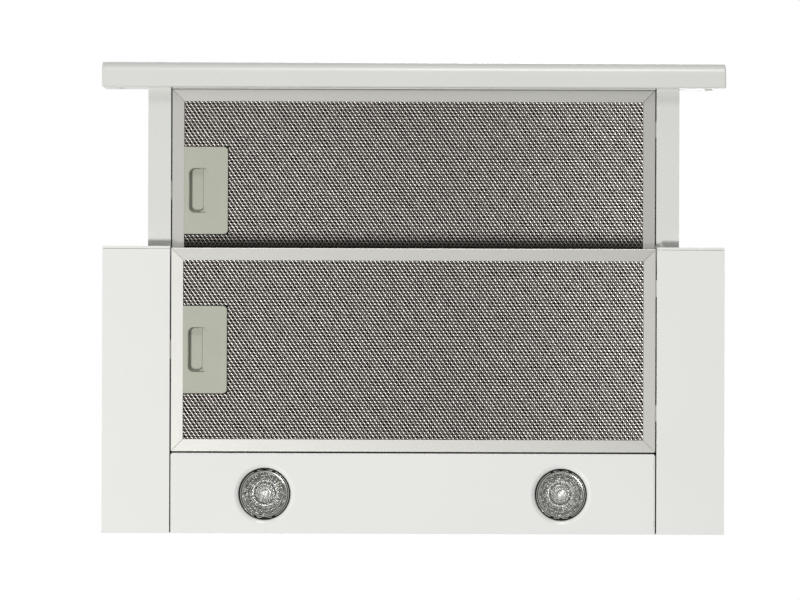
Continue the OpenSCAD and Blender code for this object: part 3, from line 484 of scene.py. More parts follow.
def expanded_aluminium(name, base, dull=0.0):
    """Aluminium sheet slit and stretched into a net: bright cut edges with dull flats between them, and a thin warm
    film that gathers in patches 6 to 30 mm wide. Its colour also carries painted shadow, darker where the drawer
    slides into the body, and painted light, lighter towards the right."""
    net = Finish(name, base, 0.38, 1.0)
    torn = net.value("TexNoise", {"Vector": net.point, "Scale": 1 / (0.9 * MM)})
    film = net.value("TexNoise", {"Vector": net.point, "Scale": 1 / (26 * MM), "Detail": 4, "Roughness": 0.6})
    place = add(net.tree, "SeparateXYZ", {"Vector": net.point}).outputs
    # painted shadow: the colour falls to 0.42 of itself within 6 mm of the body's front edge and eases back by 14 mm
    off = net.value("Math", {0: place["Y"], 1: BODY_SHADOW_Y}, operation="SUBTRACT")
    off = net.value("Math", {0: off}, operation="ABSOLUTE")
    body_shadow_share = net.value("MapRange", {"Value": off, "From Min": 6 * MM, "From Max": 14 * MM, "To Min": 0.42})
    # painted light: the colour grows lighter towards the right, by 12 times the square of X, for light that falls more
    # strongly there
    right = net.value("Math", {0: place["X"], 1: 0.0}, operation="MAXIMUM")
    square = net.value("Math", {0: right, 1: right}, operation="MULTIPLY")
    thin = net.value("Math", {0: square, 1: 12.0, 2: 0.87}, operation="MULTIPLY_ADD")
    net.vary(torn, 0.88, 1.06)
    net.tint(net.value("Math", {0: thin, 1: body_shadow_share}, operation="MULTIPLY"))
    net.sheen(film, 0.2 + dull, 0.27 + dull)
    net.relief(torn, 0.02 * MM, 0.2)
    return net.material


def mesh_wadding():
    """Stack of crumpled aluminium mesh deep in the filter, painted dark as the shade inside the filter, with painted
    glints where wires of about 0.3 mm cross, drawn 1.2 mm apart so that they show."""
    stack = Finish("Layered aluminium mesh", tuple(settings("colours").shaded_wadding), 0.55, 0.7)
    cells = {"Vector": stack.point, "Scale": 1 / (1.2 * MM)}
    off = stack.value("TexVoronoi", cells, "Distance", feature="DISTANCE_TO_EDGE")
    wires = stack.value("MapRange", {"Value": off, "From Max": 0.22, "To Min": 1, "To Max": 0})
    stack.vary(wires, 0.45, 4.5)
    stack.relief(wires, 0.3 * MM)
    return stack.material


def grip_plastic(part="plate"):
    """Injection moulded ABS, grey-green and opaque: an even colour with a fine spark-eroded texture of 0.5 mm and a
    soft sheen. On the finger cup the walls are painted darker, as shade in the recess."""
    plastic = Finish("Moulded ABS, " + part, tuple(settings("colours").grip), 0.42)
    flow = plastic.value("TexNoise", {"Vector": plastic.point, "Scale": 1 / (22 * MM), "Detail": 1})
    spark = plastic.value("TexNoise", {"Vector": plastic.point, "Scale": 1 / (0.5 * MM)})
    plastic.vary(flow, 0.95, 1.04)
    # painted shade on the walls of the finger cup
    if part == "cup":
        plastic.tint_by_tone()
    plastic.sheen(spark, 0.36, 0.5)
    plastic.relief(spark, 0.015 * MM)
    return plastic.material


def black_polyamide():
    """Glass-filled polyamide, black and moulded: matt, with a mottle of 3 mm where the fibres reach the surface."""
    plastic = Finish("Glass-filled polyamide", tuple(settings("colours").plastic), 0.5)
    mottle = plastic.value("TexNoise", {"Vector": plastic.point, "Scale": 1 / (3 * MM)})
    fibres = plastic.value("TexNoise", {"Vector": plastic.point, "Scale": 1 / (0.7 * MM), "Detail": 3})
    plastic.vary(mottle, 0.7, 1.5)
    plastic.sheen(fibres, 0.42, 0.6)
    plastic.relief(fibres, 0.02 * MM)
    return plastic.material


def mottled(name, codes, size, detail, roughness, metallic=0.0, **constants):
    """A finish whose colour drifts in patches of a size, and those patches. Its codes are the even colour and the two
    that the patches go between."""
    even, low, high = (linear(code) for code in codes)
    made = Finish(name, even, roughness, metallic, **constants)
    patches = made.value("TexNoise", {"Vector": made.point, "Scale": 1 / size, "Detail": detail})
    made.shade(patches, low, high)
    return made, patches


def zinc_plate():
    """Steel with bright zinc plating: cool grey, with patches of faint blue and straw from its passivation."""
    zinc, patches = mottled("Zinc plated steel", ("B4B8BC", "A9B2BC", "C2BFB2"), 14 * MM, 3, 0.32, 1.0)
    fine = zinc.value("TexNoise", {"Vector": zinc.point, "Scale": 1 / (0.4 * MM), "Detail": 1})
    zinc.sheen(patches, 0.24, 0.42)
    zinc.relief(fine, 0.005 * MM)
    return zinc.material


def satin_chrome():
    """Steel ring with satin chrome: darker than aluminium, with a fine turned grain, and painted shade in its
    grooves, which grow darker the deeper they lie."""
    chrome = Finish("Satin chrome", linear("73746F"), 0.22, 1.0)
    grain = chrome.value("TexNoise", {"Vector": chrome.point, "Scale": 1 / (0.8 * MM)})
    # painted shade: the colour darkens with height, so the ring's grooves and lip stay dark
    height = chrome.value("SeparateXYZ", {"Vector": chrome.point}, "Z")
    deep = chrome.value("MapRange", {"Value": height, "From Min": 1.75 * MM, "From Max": 2.6 * MM})
    chrome.shade(deep, linear("A4A59F"), linear("232422"))
    chrome.sheen(grain, 0.14, 0.28)
    return chrome.material


def lamp_mirror():
    """Pressed glass with an aluminium coat evaporated onto it: a mirror in small swollen facets. Its colour carries
    painted reflections, each facet a little different in tone with fine radial streaks, and a painted glow that
    makes it brightest round its middle."""
    mirror = Finish("Aluminised glass", linear("A9ABA4"), 0.14, 1.0)
    # painted reflection: each facet and fine radial streaks get their own tone
    cell = mirror.value("TexVoronoi", {"Vector": mirror.place, "Scale": 1.0, "Randomness": 0.0}, "Color")
    tone = mirror.value("SeparateColor", {"Color": cell})
    long = mirror.value("Mapping", {"Vector": mirror.place, "Scale": (2.5, 0.5, 1)})
    painted_reflection_ticks = mirror.value("TexNoise", {"Vector": long, "Scale": 1.0})
    clear = mirror.value("MapRange", {"Value": painted_reflection_ticks, "From Min": 0.46, "From Max": 0.62, "To Max": 0.75})
    way_out = mirror.value("SeparateXYZ", {"Vector": mirror.place}, "Y")
    # painted glow: the colour is brightest round the mirror's middle
    core = {"Value": way_out, "From Min": 0.1, "From Max": 0.4, "To Min": 1, "To Max": 0}
    facets = mirror.value("Math", {0: tone, 1: 0.3, 2: clear}, operation="MULTIPLY_ADD")
    bright = mirror.value("Math", {0: facets, 1: mirror.value("MapRange", core)}, operation="ADD")
    mirror.shade(bright, linear("747671"), linear("FFFFFA"))
    return mirror.material


def lamp_glass(finish="Clear"):
    """Pressed glass over the lamp and round its filament: clear, it shows the mirror through it and takes a sharp
    highlight; satin, it glows evenly with what is behind it."""
    rough = 0.02 if finish == "Clear" else 0.1
    return Finish(finish + " glass", (1, 1, 1), rough, **{"Transmission Weight": 1.0, "IOR": 1.45}).material


def glazed_steatite():
    """Steatite ceramic with a thin glaze, off-white, for the lamp holders."""
    return mottled("Glazed steatite", ("E8E2D2", "DDD6C4", "EFEADC"), 2 * MM, 3, 0.2)[0].material


def motor_varnish():
    """Laminated iron of the motor, dipped in grey varnish: dull, with laminations 0.5 mm apart drawn 2 mm apart."""
    iron = Finish("Varnished iron", linear("4A4F54"), 0.45, 0.4)
    wave = {"Vector": iron.point, "Scale": 1 / (40 * MM), "Distortion": 0.2}
    sheets = iron.value("TexWave", wave, "Fac", bands_direction="X")
    iron.shade(sheets, linear("3C4145"), linear("5C6166"))
    iron.relief(sheets, 0.05 * MM)
    return iron.material


def sintered_bronze():
    """Oil-filled sintered bronze of the bearing bushes: brown gold and porous, with pores of 0.3 mm."""
    return mottled("Sintered bronze", ("A8804F", "8A683F", "BD945E"), 0.3 * MM, 2, 0.4, 1.0)[0].material


def white_polypropylene():
    """Moulded polypropylene of the capacitor and the impellers: milky white with a soft sheen."""
    codes, milky = ("DADAD4", "D0D0CA", "E2E2DC"), {"Subsurface Weight": 0.05}
    return mottled("Polypropylene", codes, 12 * MM, 2, 0.35, **milky)[0].material


def soft_rubber():
    """Moulded silicone rubber of the bumpers: milky and matt, with a faint bloom."""
    codes, milky = ("DCDCD6", "D4D4CE", "E4E4DF"), {"Subsurface Weight": 0.1}
    return mottled("Moulded silicone rubber", codes, 2 * MM, 3, 0.6, **milky)[0].material


def pale_backdrop():
    """Matt paper floor under the hood, nearly white, which fades out 1.25 to 2.5 m from the middle. Seen from below it
    lets the camera through."""
    white = linear("EDEDEB")
    paper = Finish("Pale paper", white, 0.9, **{"Emission Color": (*white, 1), "Emission Strength": 0.55})
    fibre = paper.value("TexNoise", {"Vector": paper.point, "Scale": 1 / 0.4})
    paper.shade(fibre, linear("EAEAE8"), linear("F0F0EE"))
    away = paper.value("VectorMath", {0: paper.point}, "Value", operation="LENGTH")
    fade = paper.value("MapRange", {"Value": away, "From Min": 1.25, "From Max": 2.5})
    back = paper.value("NewGeometry", output="Backfacing")
    clear = paper.value("Math", {0: back, 1: fade}, operation="MAXIMUM")
    faded = {0: clear, 1: paper.shader.outputs[0], 2: paper.value("BsdfTransparent")}
    paper.tree.links.new(paper.value("MixShader", faded), paper.tree.nodes["Material Output"].inputs["Surface"])
    return paper.material


SKINS = {}


def skin(maker, *args):
    """The material that a maker function makes, made once for each name or part."""
    key = (maker.__name__, *args[:1])
    if key not in SKINS:
        SKINS[key] = maker(*args)
    return SKINS[key]


# ---- Lower section, housing and drawer ----

SHEET_NODES = ("left_side_panel", "right_side_panel", "fascia")
DRAWER_NODES = ("left_drawer_side", "right_drawer_side", "drawer_deck")
HOUSING_NODES = ("left_wall", "right_wall", "rear_wall", "front_wall", "top_cover", "lamp_box", "drawer_rear_rail")
SLIDE_NODES = ("left_slide_rail", "right_slide_rail", "left_slide_runner", "right_slide_runner")
BUMPER_EDGE = 0.25 * MM


class HOOD_OT_lower_section(Operator):
    """White side panels and fascia of the lower section."""

    bl_idname = "hood.lower_section"
    bl_label = "Lower section"

    def execute(self, context):
        ease(skin(powder_coat), settings("edges").sheet, *SHEET_NODES)
        return {"FINISHED"}


class HOOD_OT_housing(Operator):
    """Coated sheet of the upper housing."""

    bl_idname = "hood.housing"
    bl_label = "Upper housing"

    def execute(self, context):
        ease(skin(coated_sheet), settings("edges").sheet, *HOUSING_NODES)
        return {"FINISHED"}


class HOOD_OT_drawer(Operator):
    """White sides and deck of the drawer, its zinc plated ball slides, and the bar's bumpers."""

    bl_idname = "hood.drawer"
    bl_label = "Drawer"

    def execute(self, context):
        ease(skin(powder_coat, "drawer"), settings("edges").sheet, *DRAWER_NODES)
        ease(skin(zinc_plate), settings("edges").sheet, *SLIDE_NODES)
        paint(skin(zinc_plate), "left_ball_cage", "right_ball_cage")
        ease(skin(soft_rubber), BUMPER_EDGE, "bar_bumpers")
        return {"FINISHED"}


# ---- Front bar ----

BAR_FRONT_LOW, BAR_FRONT_TOP, BAR_REAR = 12 * MM, 8 * MM, 2 * MM
BAR_SEAM, CAP_OVERLAP = 0.15 * MM, 0.01 * MM
LEDGE_X, LEDGE_UP, LEDGE_T, LEDGE_SINK, LEDGE_GAP = 233 * MM, 1.2 * MM, 1 * MM, 0.05 * MM, 0.25 * MM


def bar_section():
    """Section of the bar across Y and Z, anticlockwise seen from its right end."""
    low, high = span("front_bar")
    return rounded(rectangle(low[1:], high[1:]), [BAR_FRONT_LOW, BAR_REAR, BAR_REAR, BAR_FRONT_TOP], 14)


class HOOD_OT_front_bar(Operator):
    """Front bar: one rounded section along X, the ledge behind it, and a domed cap on each end."""

    bl_idname = "hood.front_bar"
    bl_label = "Front bar"

    def execute(self, context):
        section = bar_section()
        low, high = span("front_bar")
        seat = span("front_filter_frame")[0]
        ledge_low = np.array([-LEDGE_X, high[1] - LEDGE_SINK, seat[2] + LEDGE_UP])
        ledge_high = np.array([LEDGE_X, seat[1] - LEDGE_GAP, ledge_low[2] + LEDGE_T])
        parts = [eased_bar(section, low[0], high[0], ease=BAR_SEAM), block(ledge_low, ledge_high, LEDGE_T / 10)]
        self.moulding("front_bar", joined(parts))
        self.cap("left_bar_cap", section, low[0], span("left_bar_cap")[0][0])
        self.cap("right_bar_cap", section, high[0], span("right_bar_cap")[1][0])
        return {"FINISHED"}

    def cap(self, node, section, inner, outer):
        """A cap whose rim is a quarter round: the section shrinks by r * (1 - cos a) as it moves out by r * sin a."""
        radius = settings("edges").cap
        side = 1 if outer > inner else -1
        angles = np.linspace(0, math.pi / 2, 7)
        stations = [(inner + side * CAP_OVERLAP, BAR_SEAM), (inner + side * BAR_SEAM, 0)]
        stations += [(outer - side * radius * (1 - math.sin(a)), radius * (1 - math.cos(a))) for a in angles]
        rings = [along_x(inset(section, depth), x) for x, depth in stations]
        self.moulding(node, loft(rings[::side]))

    def moulding(self, node, part):
        piece = build(node + "_moulding", *part)
        finish_piece(piece, "drawer", skin(powder_coat, "drawer"), [node])
        sharpen(piece)


# ---- Lamp panel ----

DISH_R, HOLE_R, DISH_DEPTH, PATCH_HALF = 29.0 * MM, 24.9 * MM, 3.2 * MM, 33 * MM
PANEL_BACK, PANEL_T, FOLD_STRIP, WALL_GAP = 0.8 * MM, 0.4 * MM, 1 * MM, 0.01 * MM


def dish_height(radius):
    """Height over the radius: a slope that grows steeper towards the hole. It is the depth times half the share of
    the way in, plus half the quarter ellipse over it: one less the root of one less the square of that share."""
    way = np.clip((DISH_R - radius) / (DISH_R - HOLE_R), 0, 0.995)
    return DISH_DEPTH * (0.5 * way + 0.5 * (1 - np.sqrt(1 - way**2)))


class HOOD_OT_lamp_panel(Operator):
    """White panel with a dish round each lamp, folded up along its front and sides.

    It is a grid over X and Y. Round a lamp, the grid's square rings ease into circles: a point at a square's edge
    moves towards the circle that touches the square. The height is the dish's depth, which falls off with the
    distance from the lamp and is rounded where the dish leaves the flat."""

    bl_idname = "hood.lamp_panel"
    bl_label = "Lamp panel"

    def execute(self, context):
        low, high = span("lamp_panel")
        low = low - [0, PANEL_BACK, 0]
        ring_low, ring_high = span("lamp_rings")
        lamp_x = (ring_high[0] - ring_low[0]) / 2 - (ring_high[1] - ring_low[1]) / 2
        lamp_y = (ring_low[1] + ring_high[1]) / 2
        xs, ys = self.grid_lines(low, high, lamp_x, lamp_y)
        flat = np.stack(np.meshgrid(xs, ys, indexing="ij"), -1)
        centre = np.where(flat[..., :1] > 0, [lamp_x, lamp_y], [-lamp_x, lamp_y])
        off = flat - centre
        reach = np.abs(off).max(-1)
        distance = np.maximum(np.linalg.norm(off, axis=-1), 1e-9)
        share = np.clip((PATCH_HALF - reach) / (PATCH_HALF - DISH_R), 0, 1)[..., None]
        circle = off / distance[..., None] * reach[..., None]
        near = reach < PATCH_HALF
        bent = centre + np.where(near[..., None], off * (1 - share) + circle * share, off)
        radius = np.where(near, np.linalg.norm(bent - centre, axis=-1), 1.0)
        points = np.concatenate([bent, dish_height(radius)[..., None]], -1)
        faces = grid_faces(len(xs), len(ys))
        faces = faces[radius.ravel()[faces].mean(1) > HOLE_R]
        parts = [(points.reshape(-1, 3), faces, [], flat.reshape(-1, 2)), *self.folds(low, high)]
        piece = build("lamp_panel_pressing", *joined(parts))
        self.round_holes(piece, lamp_x, lamp_y)
        wall = piece.modifiers.new("Sheet thickness", "SOLIDIFY")
        wall.thickness, wall.offset = PANEL_T, -1
        finish_piece(piece, "chassis", skin(powder_coat), ["lamp_panel"])
        sharpen(piece, 50)
        return {"FINISHED"}

    def grid_lines(self, low, high, lamp_x, lamp_y):
        """Places of the grid's lines along X and Y, close together round the lamps."""
        fold = settings("edges").fold
        dish, around = np.linspace(HOLE_R, DISH_R, 14), np.linspace(DISH_R, PATCH_HALF, 4)
        half = np.concatenate([np.linspace(0, HOLE_R, 17), dish[1:], around[1:]])
        near = np.concatenate([-half[:0:-1], half])
        edge = high[0] - fold
        far = [-edge, -edge + FOLD_STRIP, 0, edge - FOLD_STRIP, edge]
        ends = [low[1] + fold, low[1] + fold + FOLD_STRIP, high[1] - WALL_GAP]
        xs = np.concatenate([far, near - lamp_x, near + lamp_x])
        return np.unique(np.round(xs, 7)), np.unique(np.round(np.concatenate([ends, near + lamp_y]), 7))

    def round_holes(self, piece, lamp_x, lamp_y):
        """Drops the loose points in the lamps' holes and moves the holes' edge points onto a true circle."""
        shape = bmesh.new()
        shape.from_mesh(piece.data)
        bmesh.ops.delete(shape, geom=[v for v in shape.verts if not v.link_faces], context="VERTS")
        for v in shape.verts:
            centre = Vector((math.copysign(lamp_x, v.co.x), lamp_y))
            off = v.co.xy - centre
            if v.is_boundary and off.length < (HOLE_R + DISH_R) / 2:
                v.co.xy = centre + off.normalized() * HOLE_R
                v.co.z = DISH_DEPTH
        shape.to_mesh(piece.data)
        shape.free()

    def folds(self, low, high):
        """The folded edges: a quarter round and a straight upstand, carried along the front and the two sides."""
        r = settings("edges").fold
        a = np.linspace(0, math.pi / 2, 7)
        out = np.concatenate([r * np.sin(a), [r]])
        up = np.concatenate([r * (1 - np.cos(a)), [high[2]]])
        x, front, rear = high[0] - r, low[1] + r, high[1] - WALL_GAP
        runs = [((-x, front), (x, front), (0, -1)), ((x, front), (x, rear), (1, 0)), ((-x, rear), (-x, front), (-1, 0))]
        parts = []
        for start, end, way in runs:
            ends = np.array([start, end])[:, None, :] + out[None, :, None] * np.array(way)
            points = np.concatenate([ends, np.broadcast_to(up[None, :, None], (2, len(up), 1))], -1)
            parts.append((points.reshape(-1, 3), grid_faces(2, len(up))[:, ::-1], [], ends.reshape(-1, 2)))
        return parts


# ---- Filters ----

FILTERS = (("main", "main_filter"), ("front", "front_filter"))
FRAME_STRIP, FRAME_WALL, CORE_GAP, LIP_EDGE, MITRE_GAP = 12 * MM, 0.8 * MM, 0.2 * MM, 0.25 * MM, 0.12 * MM
FRAME_LEAN = {"main": 0.5 * MM, "front": 0.15 * MM}
# Painted light on the frame bars, for bars along X and then along Y: a share of the colour, and how it changes towards
# the right, lighter on the left where the light falls more strongly
FRAME_PAINTED_LIGHT = {"main": ((1.015, -0.115), (1.02, -0.03)), "front": ((1.1, -0.1), (0.915, 0.0))}
TAB_Y, TAB_HALF, TAB_Z, TAB_T = 60 * MM, 8 * MM, 1.3 * MM, 1.5 * MM
NET_DEPTH, INNER_DEPTH, STACK_Z, NET_END = 1.5 * MM, 2.9 * MM, 4.2 * MM, 0.3 * MM
# The inner net's colour is the net's, dimmed to a share as painted shade
INNER_SCALE, INNER_RISE, INNER_PAINTED_SHADE, INNER_DULL = 1.25, 0.5, 0.42, 0.4


def filter_place(prefix):
    """Middle of a filter's underside, and half its width and depth over the frame bars."""
    low, high = span(prefix + "_filter_core")
    edge = FRAME_WALL + CORE_GAP
    under = span(prefix + "_filter_frame")[0][2]
    return np.array([0, (low[1] + high[1]) / 2, under]), high[0] + edge, (high[1] - low[1]) / 2 + edge


def frame_section(height, lean):
    """C section of a frame bar: the distance from its outer edge, and the height. Its outer edges are rounded, and
    its lower flange leans up a little towards its outer edge."""
    w, t, r = FRAME_STRIP, FRAME_WALL, settings("edges").frame
    corners = [(0, lean), (w, 0), (w, t), (t, t + lean), (t, height - t), (w, height - t), (w, height), (0, height)]
    return rounded(corners, [r, LIP_EDGE, LIP_EDGE, t / 8, t / 8, LIP_EDGE, LIP_EDGE, r], 5)


def turned(part, quarter, centre):
    """A part turned by quarter turns about the vertical and moved to a centre."""
    points, quads, ends, uv = part
    c, s = ((1, 0), (0, 1), (-1, 0), (0, -1))[quarter]
    x, y = points[:, 0] * c - points[:, 1] * s, points[:, 0] * s + points[:, 1] * c
    return np.column_stack([x, y, points[:, 2]]) + centre, quads, ends, uv


def block(low, high, ease=0.2 * MM):
    """A flat block with rounded upright edges: a rounded rectangle at four heights, drawn in at both faces."""
    outline = rounded(rectangle(low, high), [1.5 * ease] * 4, 4)
    levels = ((low[2], ease), (low[2] + ease, 0), (high[2] - ease, 0), (high[2], ease))
    return loft([at_height(inset(outline, depth), z) for z, depth in levels])


class HOOD_OT_filter_frames(Operator):
    """Mitred frames of the filters: four C bars each, and the two tabs that rest on the ledge at the right."""

    bl_idname = "hood.filter_frames"
    bl_label = "Filter frames"

    def execute(self, context):
        for prefix, body in FILTERS:
            centre, half_w, half_d = filter_place(prefix)
            low, high = span(prefix + "_filter_frame")
            section = frame_section(high[2] - low[2], FRAME_LEAN[prefix])
            parts, tones = [], []
            for quarter, (reach, off) in enumerate([(half_w, half_d), (half_d, half_w)] * 2):
                points, *rest = eased_bar(section, MITRE_GAP - reach, reach - MITRE_GAP, 1.0, LIP_EDGE)
                parts.append(turned((points - [0, off, 0], *rest), quarter, centre))
                # painted light: each bar's share of the colour drifts along X
                tone, drift = FRAME_PAINTED_LIGHT[prefix][quarter % 2]
                tones.append(tone + drift * parts[-1][0][:, 0] / half_w)
            for y in (-TAB_Y, TAB_Y):
                tab_low = centre + [half_w - FRAME_WALL, y - TAB_HALF, TAB_Z]
                tab_high = [high[0], centre[1] + y + TAB_HALF, centre[2] + TAB_Z + TAB_T]
                parts.append(block(tab_low, tab_high))
                tones.append(np.ones(len(parts[-1][0])))
            piece = build(prefix + "_filter_bars", *joined(parts))
            set_tones(piece, tones)
            finish_piece(piece, body, skin(brushed_aluminium, prefix), [prefix + "_filter_frame"])
            sharpen(piece)
        return {"FINISHED"}


def strands(half_w, half_d, depth, gap, scale=1.0, shift=0, rise_share=1.0):
    """Strands of an expanded net, row by row.

    Along a row, a strand swings to and fro in a triangle wave, alternate rows the other way, so that it meets the
    next row at each turn. It rises as it swings, and its flat is tilted about the row, so every strand faces the same
    side. Its section is a flat front with a ridge behind it. gap is the box of the grip plate, where rows stop."""
    net = settings("net")
    rows = int(round(2 * half_d / (net.row * scale))) + 1
    turns = int(round(2 * half_w / (net.pitch * scale)))
    quarter = np.arange(4 * turns + 1)
    x = (quarter / (4 * turns) * 2 - 1) * half_w
    wave = np.array([1.0, 0.0, -1.0, 0.0])[(quarter + shift) % 4]
    half, rise, ridge = net.strand * scale / 2, net.rise * rise_share, net.thickness * 1.4
    cos, sin = math.cos(net.tilt), math.sin(net.tilt)
    section = np.array([[-cos * half, -sin * half], [cos * half, sin * half], [-sin * ridge, cos * ridge]])
    parts = []
    for k in range(rows):
        y0 = (k / (rows - 1) * 2 - 1) * half_d
        swing = wave * (1 if k % 2 else -1)
        line = np.column_stack([x, y0 + net.sway * scale * swing, depth - rise * swing])
        if gap[1] < y0 < gap[2]:
            line = line[x > gap[0]]
        ring = np.zeros((len(line), 3, 3))
        ring[..., 1:] = section
        parts.append(loft(line[:, None, :] + ring))
    return parts


class HOOD_OT_nets(Operator):
    """Expanded nets of the filters, a second coarser net behind each, and the stack of mesh behind that; the inner net
    and the stack are painted darker as shade.
    """

    bl_idname = "hood.nets"
    bl_label = "Filter nets"

    def execute(self, context):
        tone = settings("colours").net
        metal = skin(expanded_aluminium, "Expanded aluminium", tuple(tone))
        # painted shade: the inner net is a darker copy of the net's aluminium
        deep = skin(expanded_aluminium, "Inner expanded aluminium", dim(tone, INNER_PAINTED_SHADE), INNER_DULL)
        hidden = FRAME_STRIP - settings("net").hidden
        for prefix, body in FILTERS:
            centre, half_w, half_d = filter_place(prefix)
            low, high = span(prefix + "_latch_plate")
            gap = (high[0] + NET_END, low[1] - centre[1] - NET_END, high[1] - centre[1] + NET_END)
            reach = (half_w - hidden, half_d - hidden)
            piece = self.net(prefix + "_expanded_net", centre, strands(*reach, NET_DEPTH, gap), True)
            piece.data.set_sharp_from_angle(angle=math.radians(50))
            finish_piece(piece, body, metal, [prefix + "_filter_net"])
            inner = strands(*reach, INNER_DEPTH, gap, INNER_SCALE, 1, INNER_RISE)
            piece = self.net(prefix + "_inner_net", centre, inner, False)
            finish_piece(piece, body, deep)
            self.stack(prefix, body, centre, gap)
        return {"FINISHED"}

    def net(self, name, centre, parts, smooth):
        points, *rest = joined(parts)
        return build(name, points + centre, *rest, smooth=smooth)

    def stack(self, prefix, body, centre, gap):
        """The stack of mesh: an outline with a notch for the grip plate, between two heights."""
        _, (w, d, top) = span(prefix + "_filter_core")
        d -= centre[1]
        x, low, high = gap
        corners = [(-w, -d), (w, -d), (w, d), (-w, d), (-w, high), (x, high), (x, low), (-w, low)]
        outline = rounded(corners, 0.4 * MM, 3) + centre[:2]
        rings = [at_height(outline, z) for z in (centre[2] + STACK_Z, top)]
        piece = build(prefix + "_mesh_stack", *loft(rings), smooth=False)
        finish_piece(piece, body, skin(mesh_wadding), [prefix + "_filter_core"])


# ---- Grips ----

# Cup of a latch: its place in the plate and its size, then heights above its foot and how far in they are, in mm
CUP_IN, CUP_W, CUP_HALF, CUP_R = 4.9 * MM, 13.9 * MM, 21.2 * MM, 5.2 * MM
CUP_OUTSIDE = ((6.5, 0.3), (6.2, 0), (1.6, 0), (1.5, 0.1), (1.5, 0.2))
CUP_INSIDE = ((1.6, 0.28), (2.6, 0.58), (3.9, 0.98), (4.8, 1.32), (5.3, 1.6), (5.55, 1.95), (5.6, 2.4))
# Shares of the cup's colour ring by ring, out and then in: painted shade that darkens the inner walls
CUP_PAINTED_SHADE = (1, 1, 1, 1, 0.9, 0.8, 0.5, 0.5, 0.55, 0.7, 0.95, 1)
CUP_LEAN = np.array([0.6, -0.6]) * MM
LATCH_GAP = 0.2 * MM
TONGUE_HALF, TONGUE_LOW, TONGUE_HIGH = 9 * MM, 1.3 * MM, 2.8 * MM
FLANGE_LOW, FLANGE_HIGH, FLANGE_IN, FLANGE_EASE = 1.5 * MM, 2.5 * MM, 0.3 * MM, 0.05 * MM
EAR_IN, EAR_W, EAR_OVER, EAR_LOW, EAR_HIGH = 1.7 * MM, 6 * MM, 0.2 * MM, 2.3 * MM, 6.2 * MM


class HOOD_OT_grips(Operator):
    """Grip plates and sliding latches of the filters, in moulded plastic."""

    bl_idname = "hood.grips"
    bl_label = "Filter grips"

    def execute(self, context):
        for prefix, _ in FILTERS:
            eased_copy(prefix + "_latch_plate", skin(grip_plastic), settings("edges").moulding, 3)
            self.slide(prefix)
            paint(skin(zinc_plate), prefix + "_latch_spring")
        return {"FINISHED"}

    def slide(self, prefix):
        """Sliding cup with its tongue, its flange and the ear for the spring. The cup is one loft: up its outside,
        round its rim, and down an inside whose outline shrinks towards the corner at the right and the front. Small
        corner pieces fill the flange up to the cup's round corners."""
        node = prefix + "_latch_slide"
        plate, _ = span(prefix + "_latch_plate")
        low, high = span(node)
        frame_low, frame_high = span(prefix + "_filter_frame")
        middle, z = (frame_low[1] + frame_high[1]) / 2, plate[2] - LATCH_GAP
        x0, x1 = plate[0] + CUP_IN, plate[0] + CUP_IN + CUP_W
        y0, y1 = middle - CUP_HALF, middle + CUP_HALF
        outline = rounded(rectangle((x0, y0), (x1, y1)), CUP_R, 8)
        rings = [at_height(inset(outline, d * MM), z + h * MM) for h, d in CUP_OUTSIDE]
        rings += [at_height(inset(outline, d * MM) + CUP_LEAN * d, z + h * MM) for h, d in CUP_INSIDE]
        tongue = block((low[0], middle - TONGUE_HALF, z + TONGUE_LOW), (x0, middle + TONGUE_HALF, z + TONGUE_HIGH))
        flange = block((x1 - FLANGE_IN, y0, z + FLANGE_LOW), (high[0], y1, z + FLANGE_HIGH), FLANGE_EASE)
        ear = block((x0 + EAR_IN, y1 - EAR_OVER, z + EAR_LOW), (x0 + EAR_IN + EAR_W, high[1], z + EAR_HIGH))
        parts = [loft(rings), tongue, flange, ear]
        for side in (-1, 1):
            at_side = side * (outline[:, 1] - middle) > CUP_HALF - CUP_R - SAME_POINT
            near = (outline[:, 0] > x1 - CUP_R - SAME_POINT) & at_side
            fill = np.concatenate([outline[near][::-1], [[x1, middle + side * CUP_HALF]]])
            parts.append(loft([at_height(fill, z + level) for level in (FLANGE_LOW, FLANGE_HIGH)]))
        piece = build(prefix + "_latch_cup", *joined(parts))
        # painted shade: the cup's inner wall rings get the darker shares of its colour
        set_tones(piece, [np.repeat(CUP_PAINTED_SHADE, len(outline)), *(np.ones(len(part[0])) for part in parts[1:])])
        finish_piece(piece, body_of(node), skin(grip_plastic, "cup"), [node])
        sharpen(piece)


# ---- Lamps ----

RING_R, NOTCH_HALF, NOTCH_DEPTH, RIM_Z = 24.4 * MM, 8.5 * MM, 1.4 * MM, 3.5 * MM
SLOT_HALF, SLOT_R, SLOT_UNDER, SLOT_Z = 1.2 * MM, 22.5 * MM, 3 * MM, 3.2 * MM
# Section of a ring in mm, by radius and height: its inner groove, its outer groove, its flange and its sleeve
RING_CORNERS = ((20.7, 2.9), (20.8, 2.15), (22.1, 1.75), (22.2, 3.0), (22.8, 3.0), (22.9, 1.6), (23.6, 1.6))
RING_CORNERS += ((23.8, 3.5), (26, 3.5), (26, 4.3), (24.4, 4.3), (24.4, 12), (23.2, 12), (23.2, 3.6), (20.7, 3.6))
RING_RADII = (0.1, 0.2, 0.1, 0.1, 0.1, 0.25, 0.4, 0.1, 0.2, 0.2, 0.1, 0.2, 0.2, 0.1, 0.1)
NECK_R, MIRROR_R, MIRROR_H, MIRROR_UP, FACET_STEPS = 6.6 * MM, 20.9 * MM, 13 * MM, 2.4 * MM, 4
BEAD_R, BEAD_W, BEAD_H = 11.2 * MM, 1.1 * MM, 1.7 * MM
BODY_GAP, BODY_WALL, BODY_DROP, BODY_R = 0.3 * MM, 1.2 * MM, 0.8 * MM, 22.4 * MM
BASE_R, BASE_H, BASE_EDGE = 8 * MM, 13 * MM, 0.6 * MM
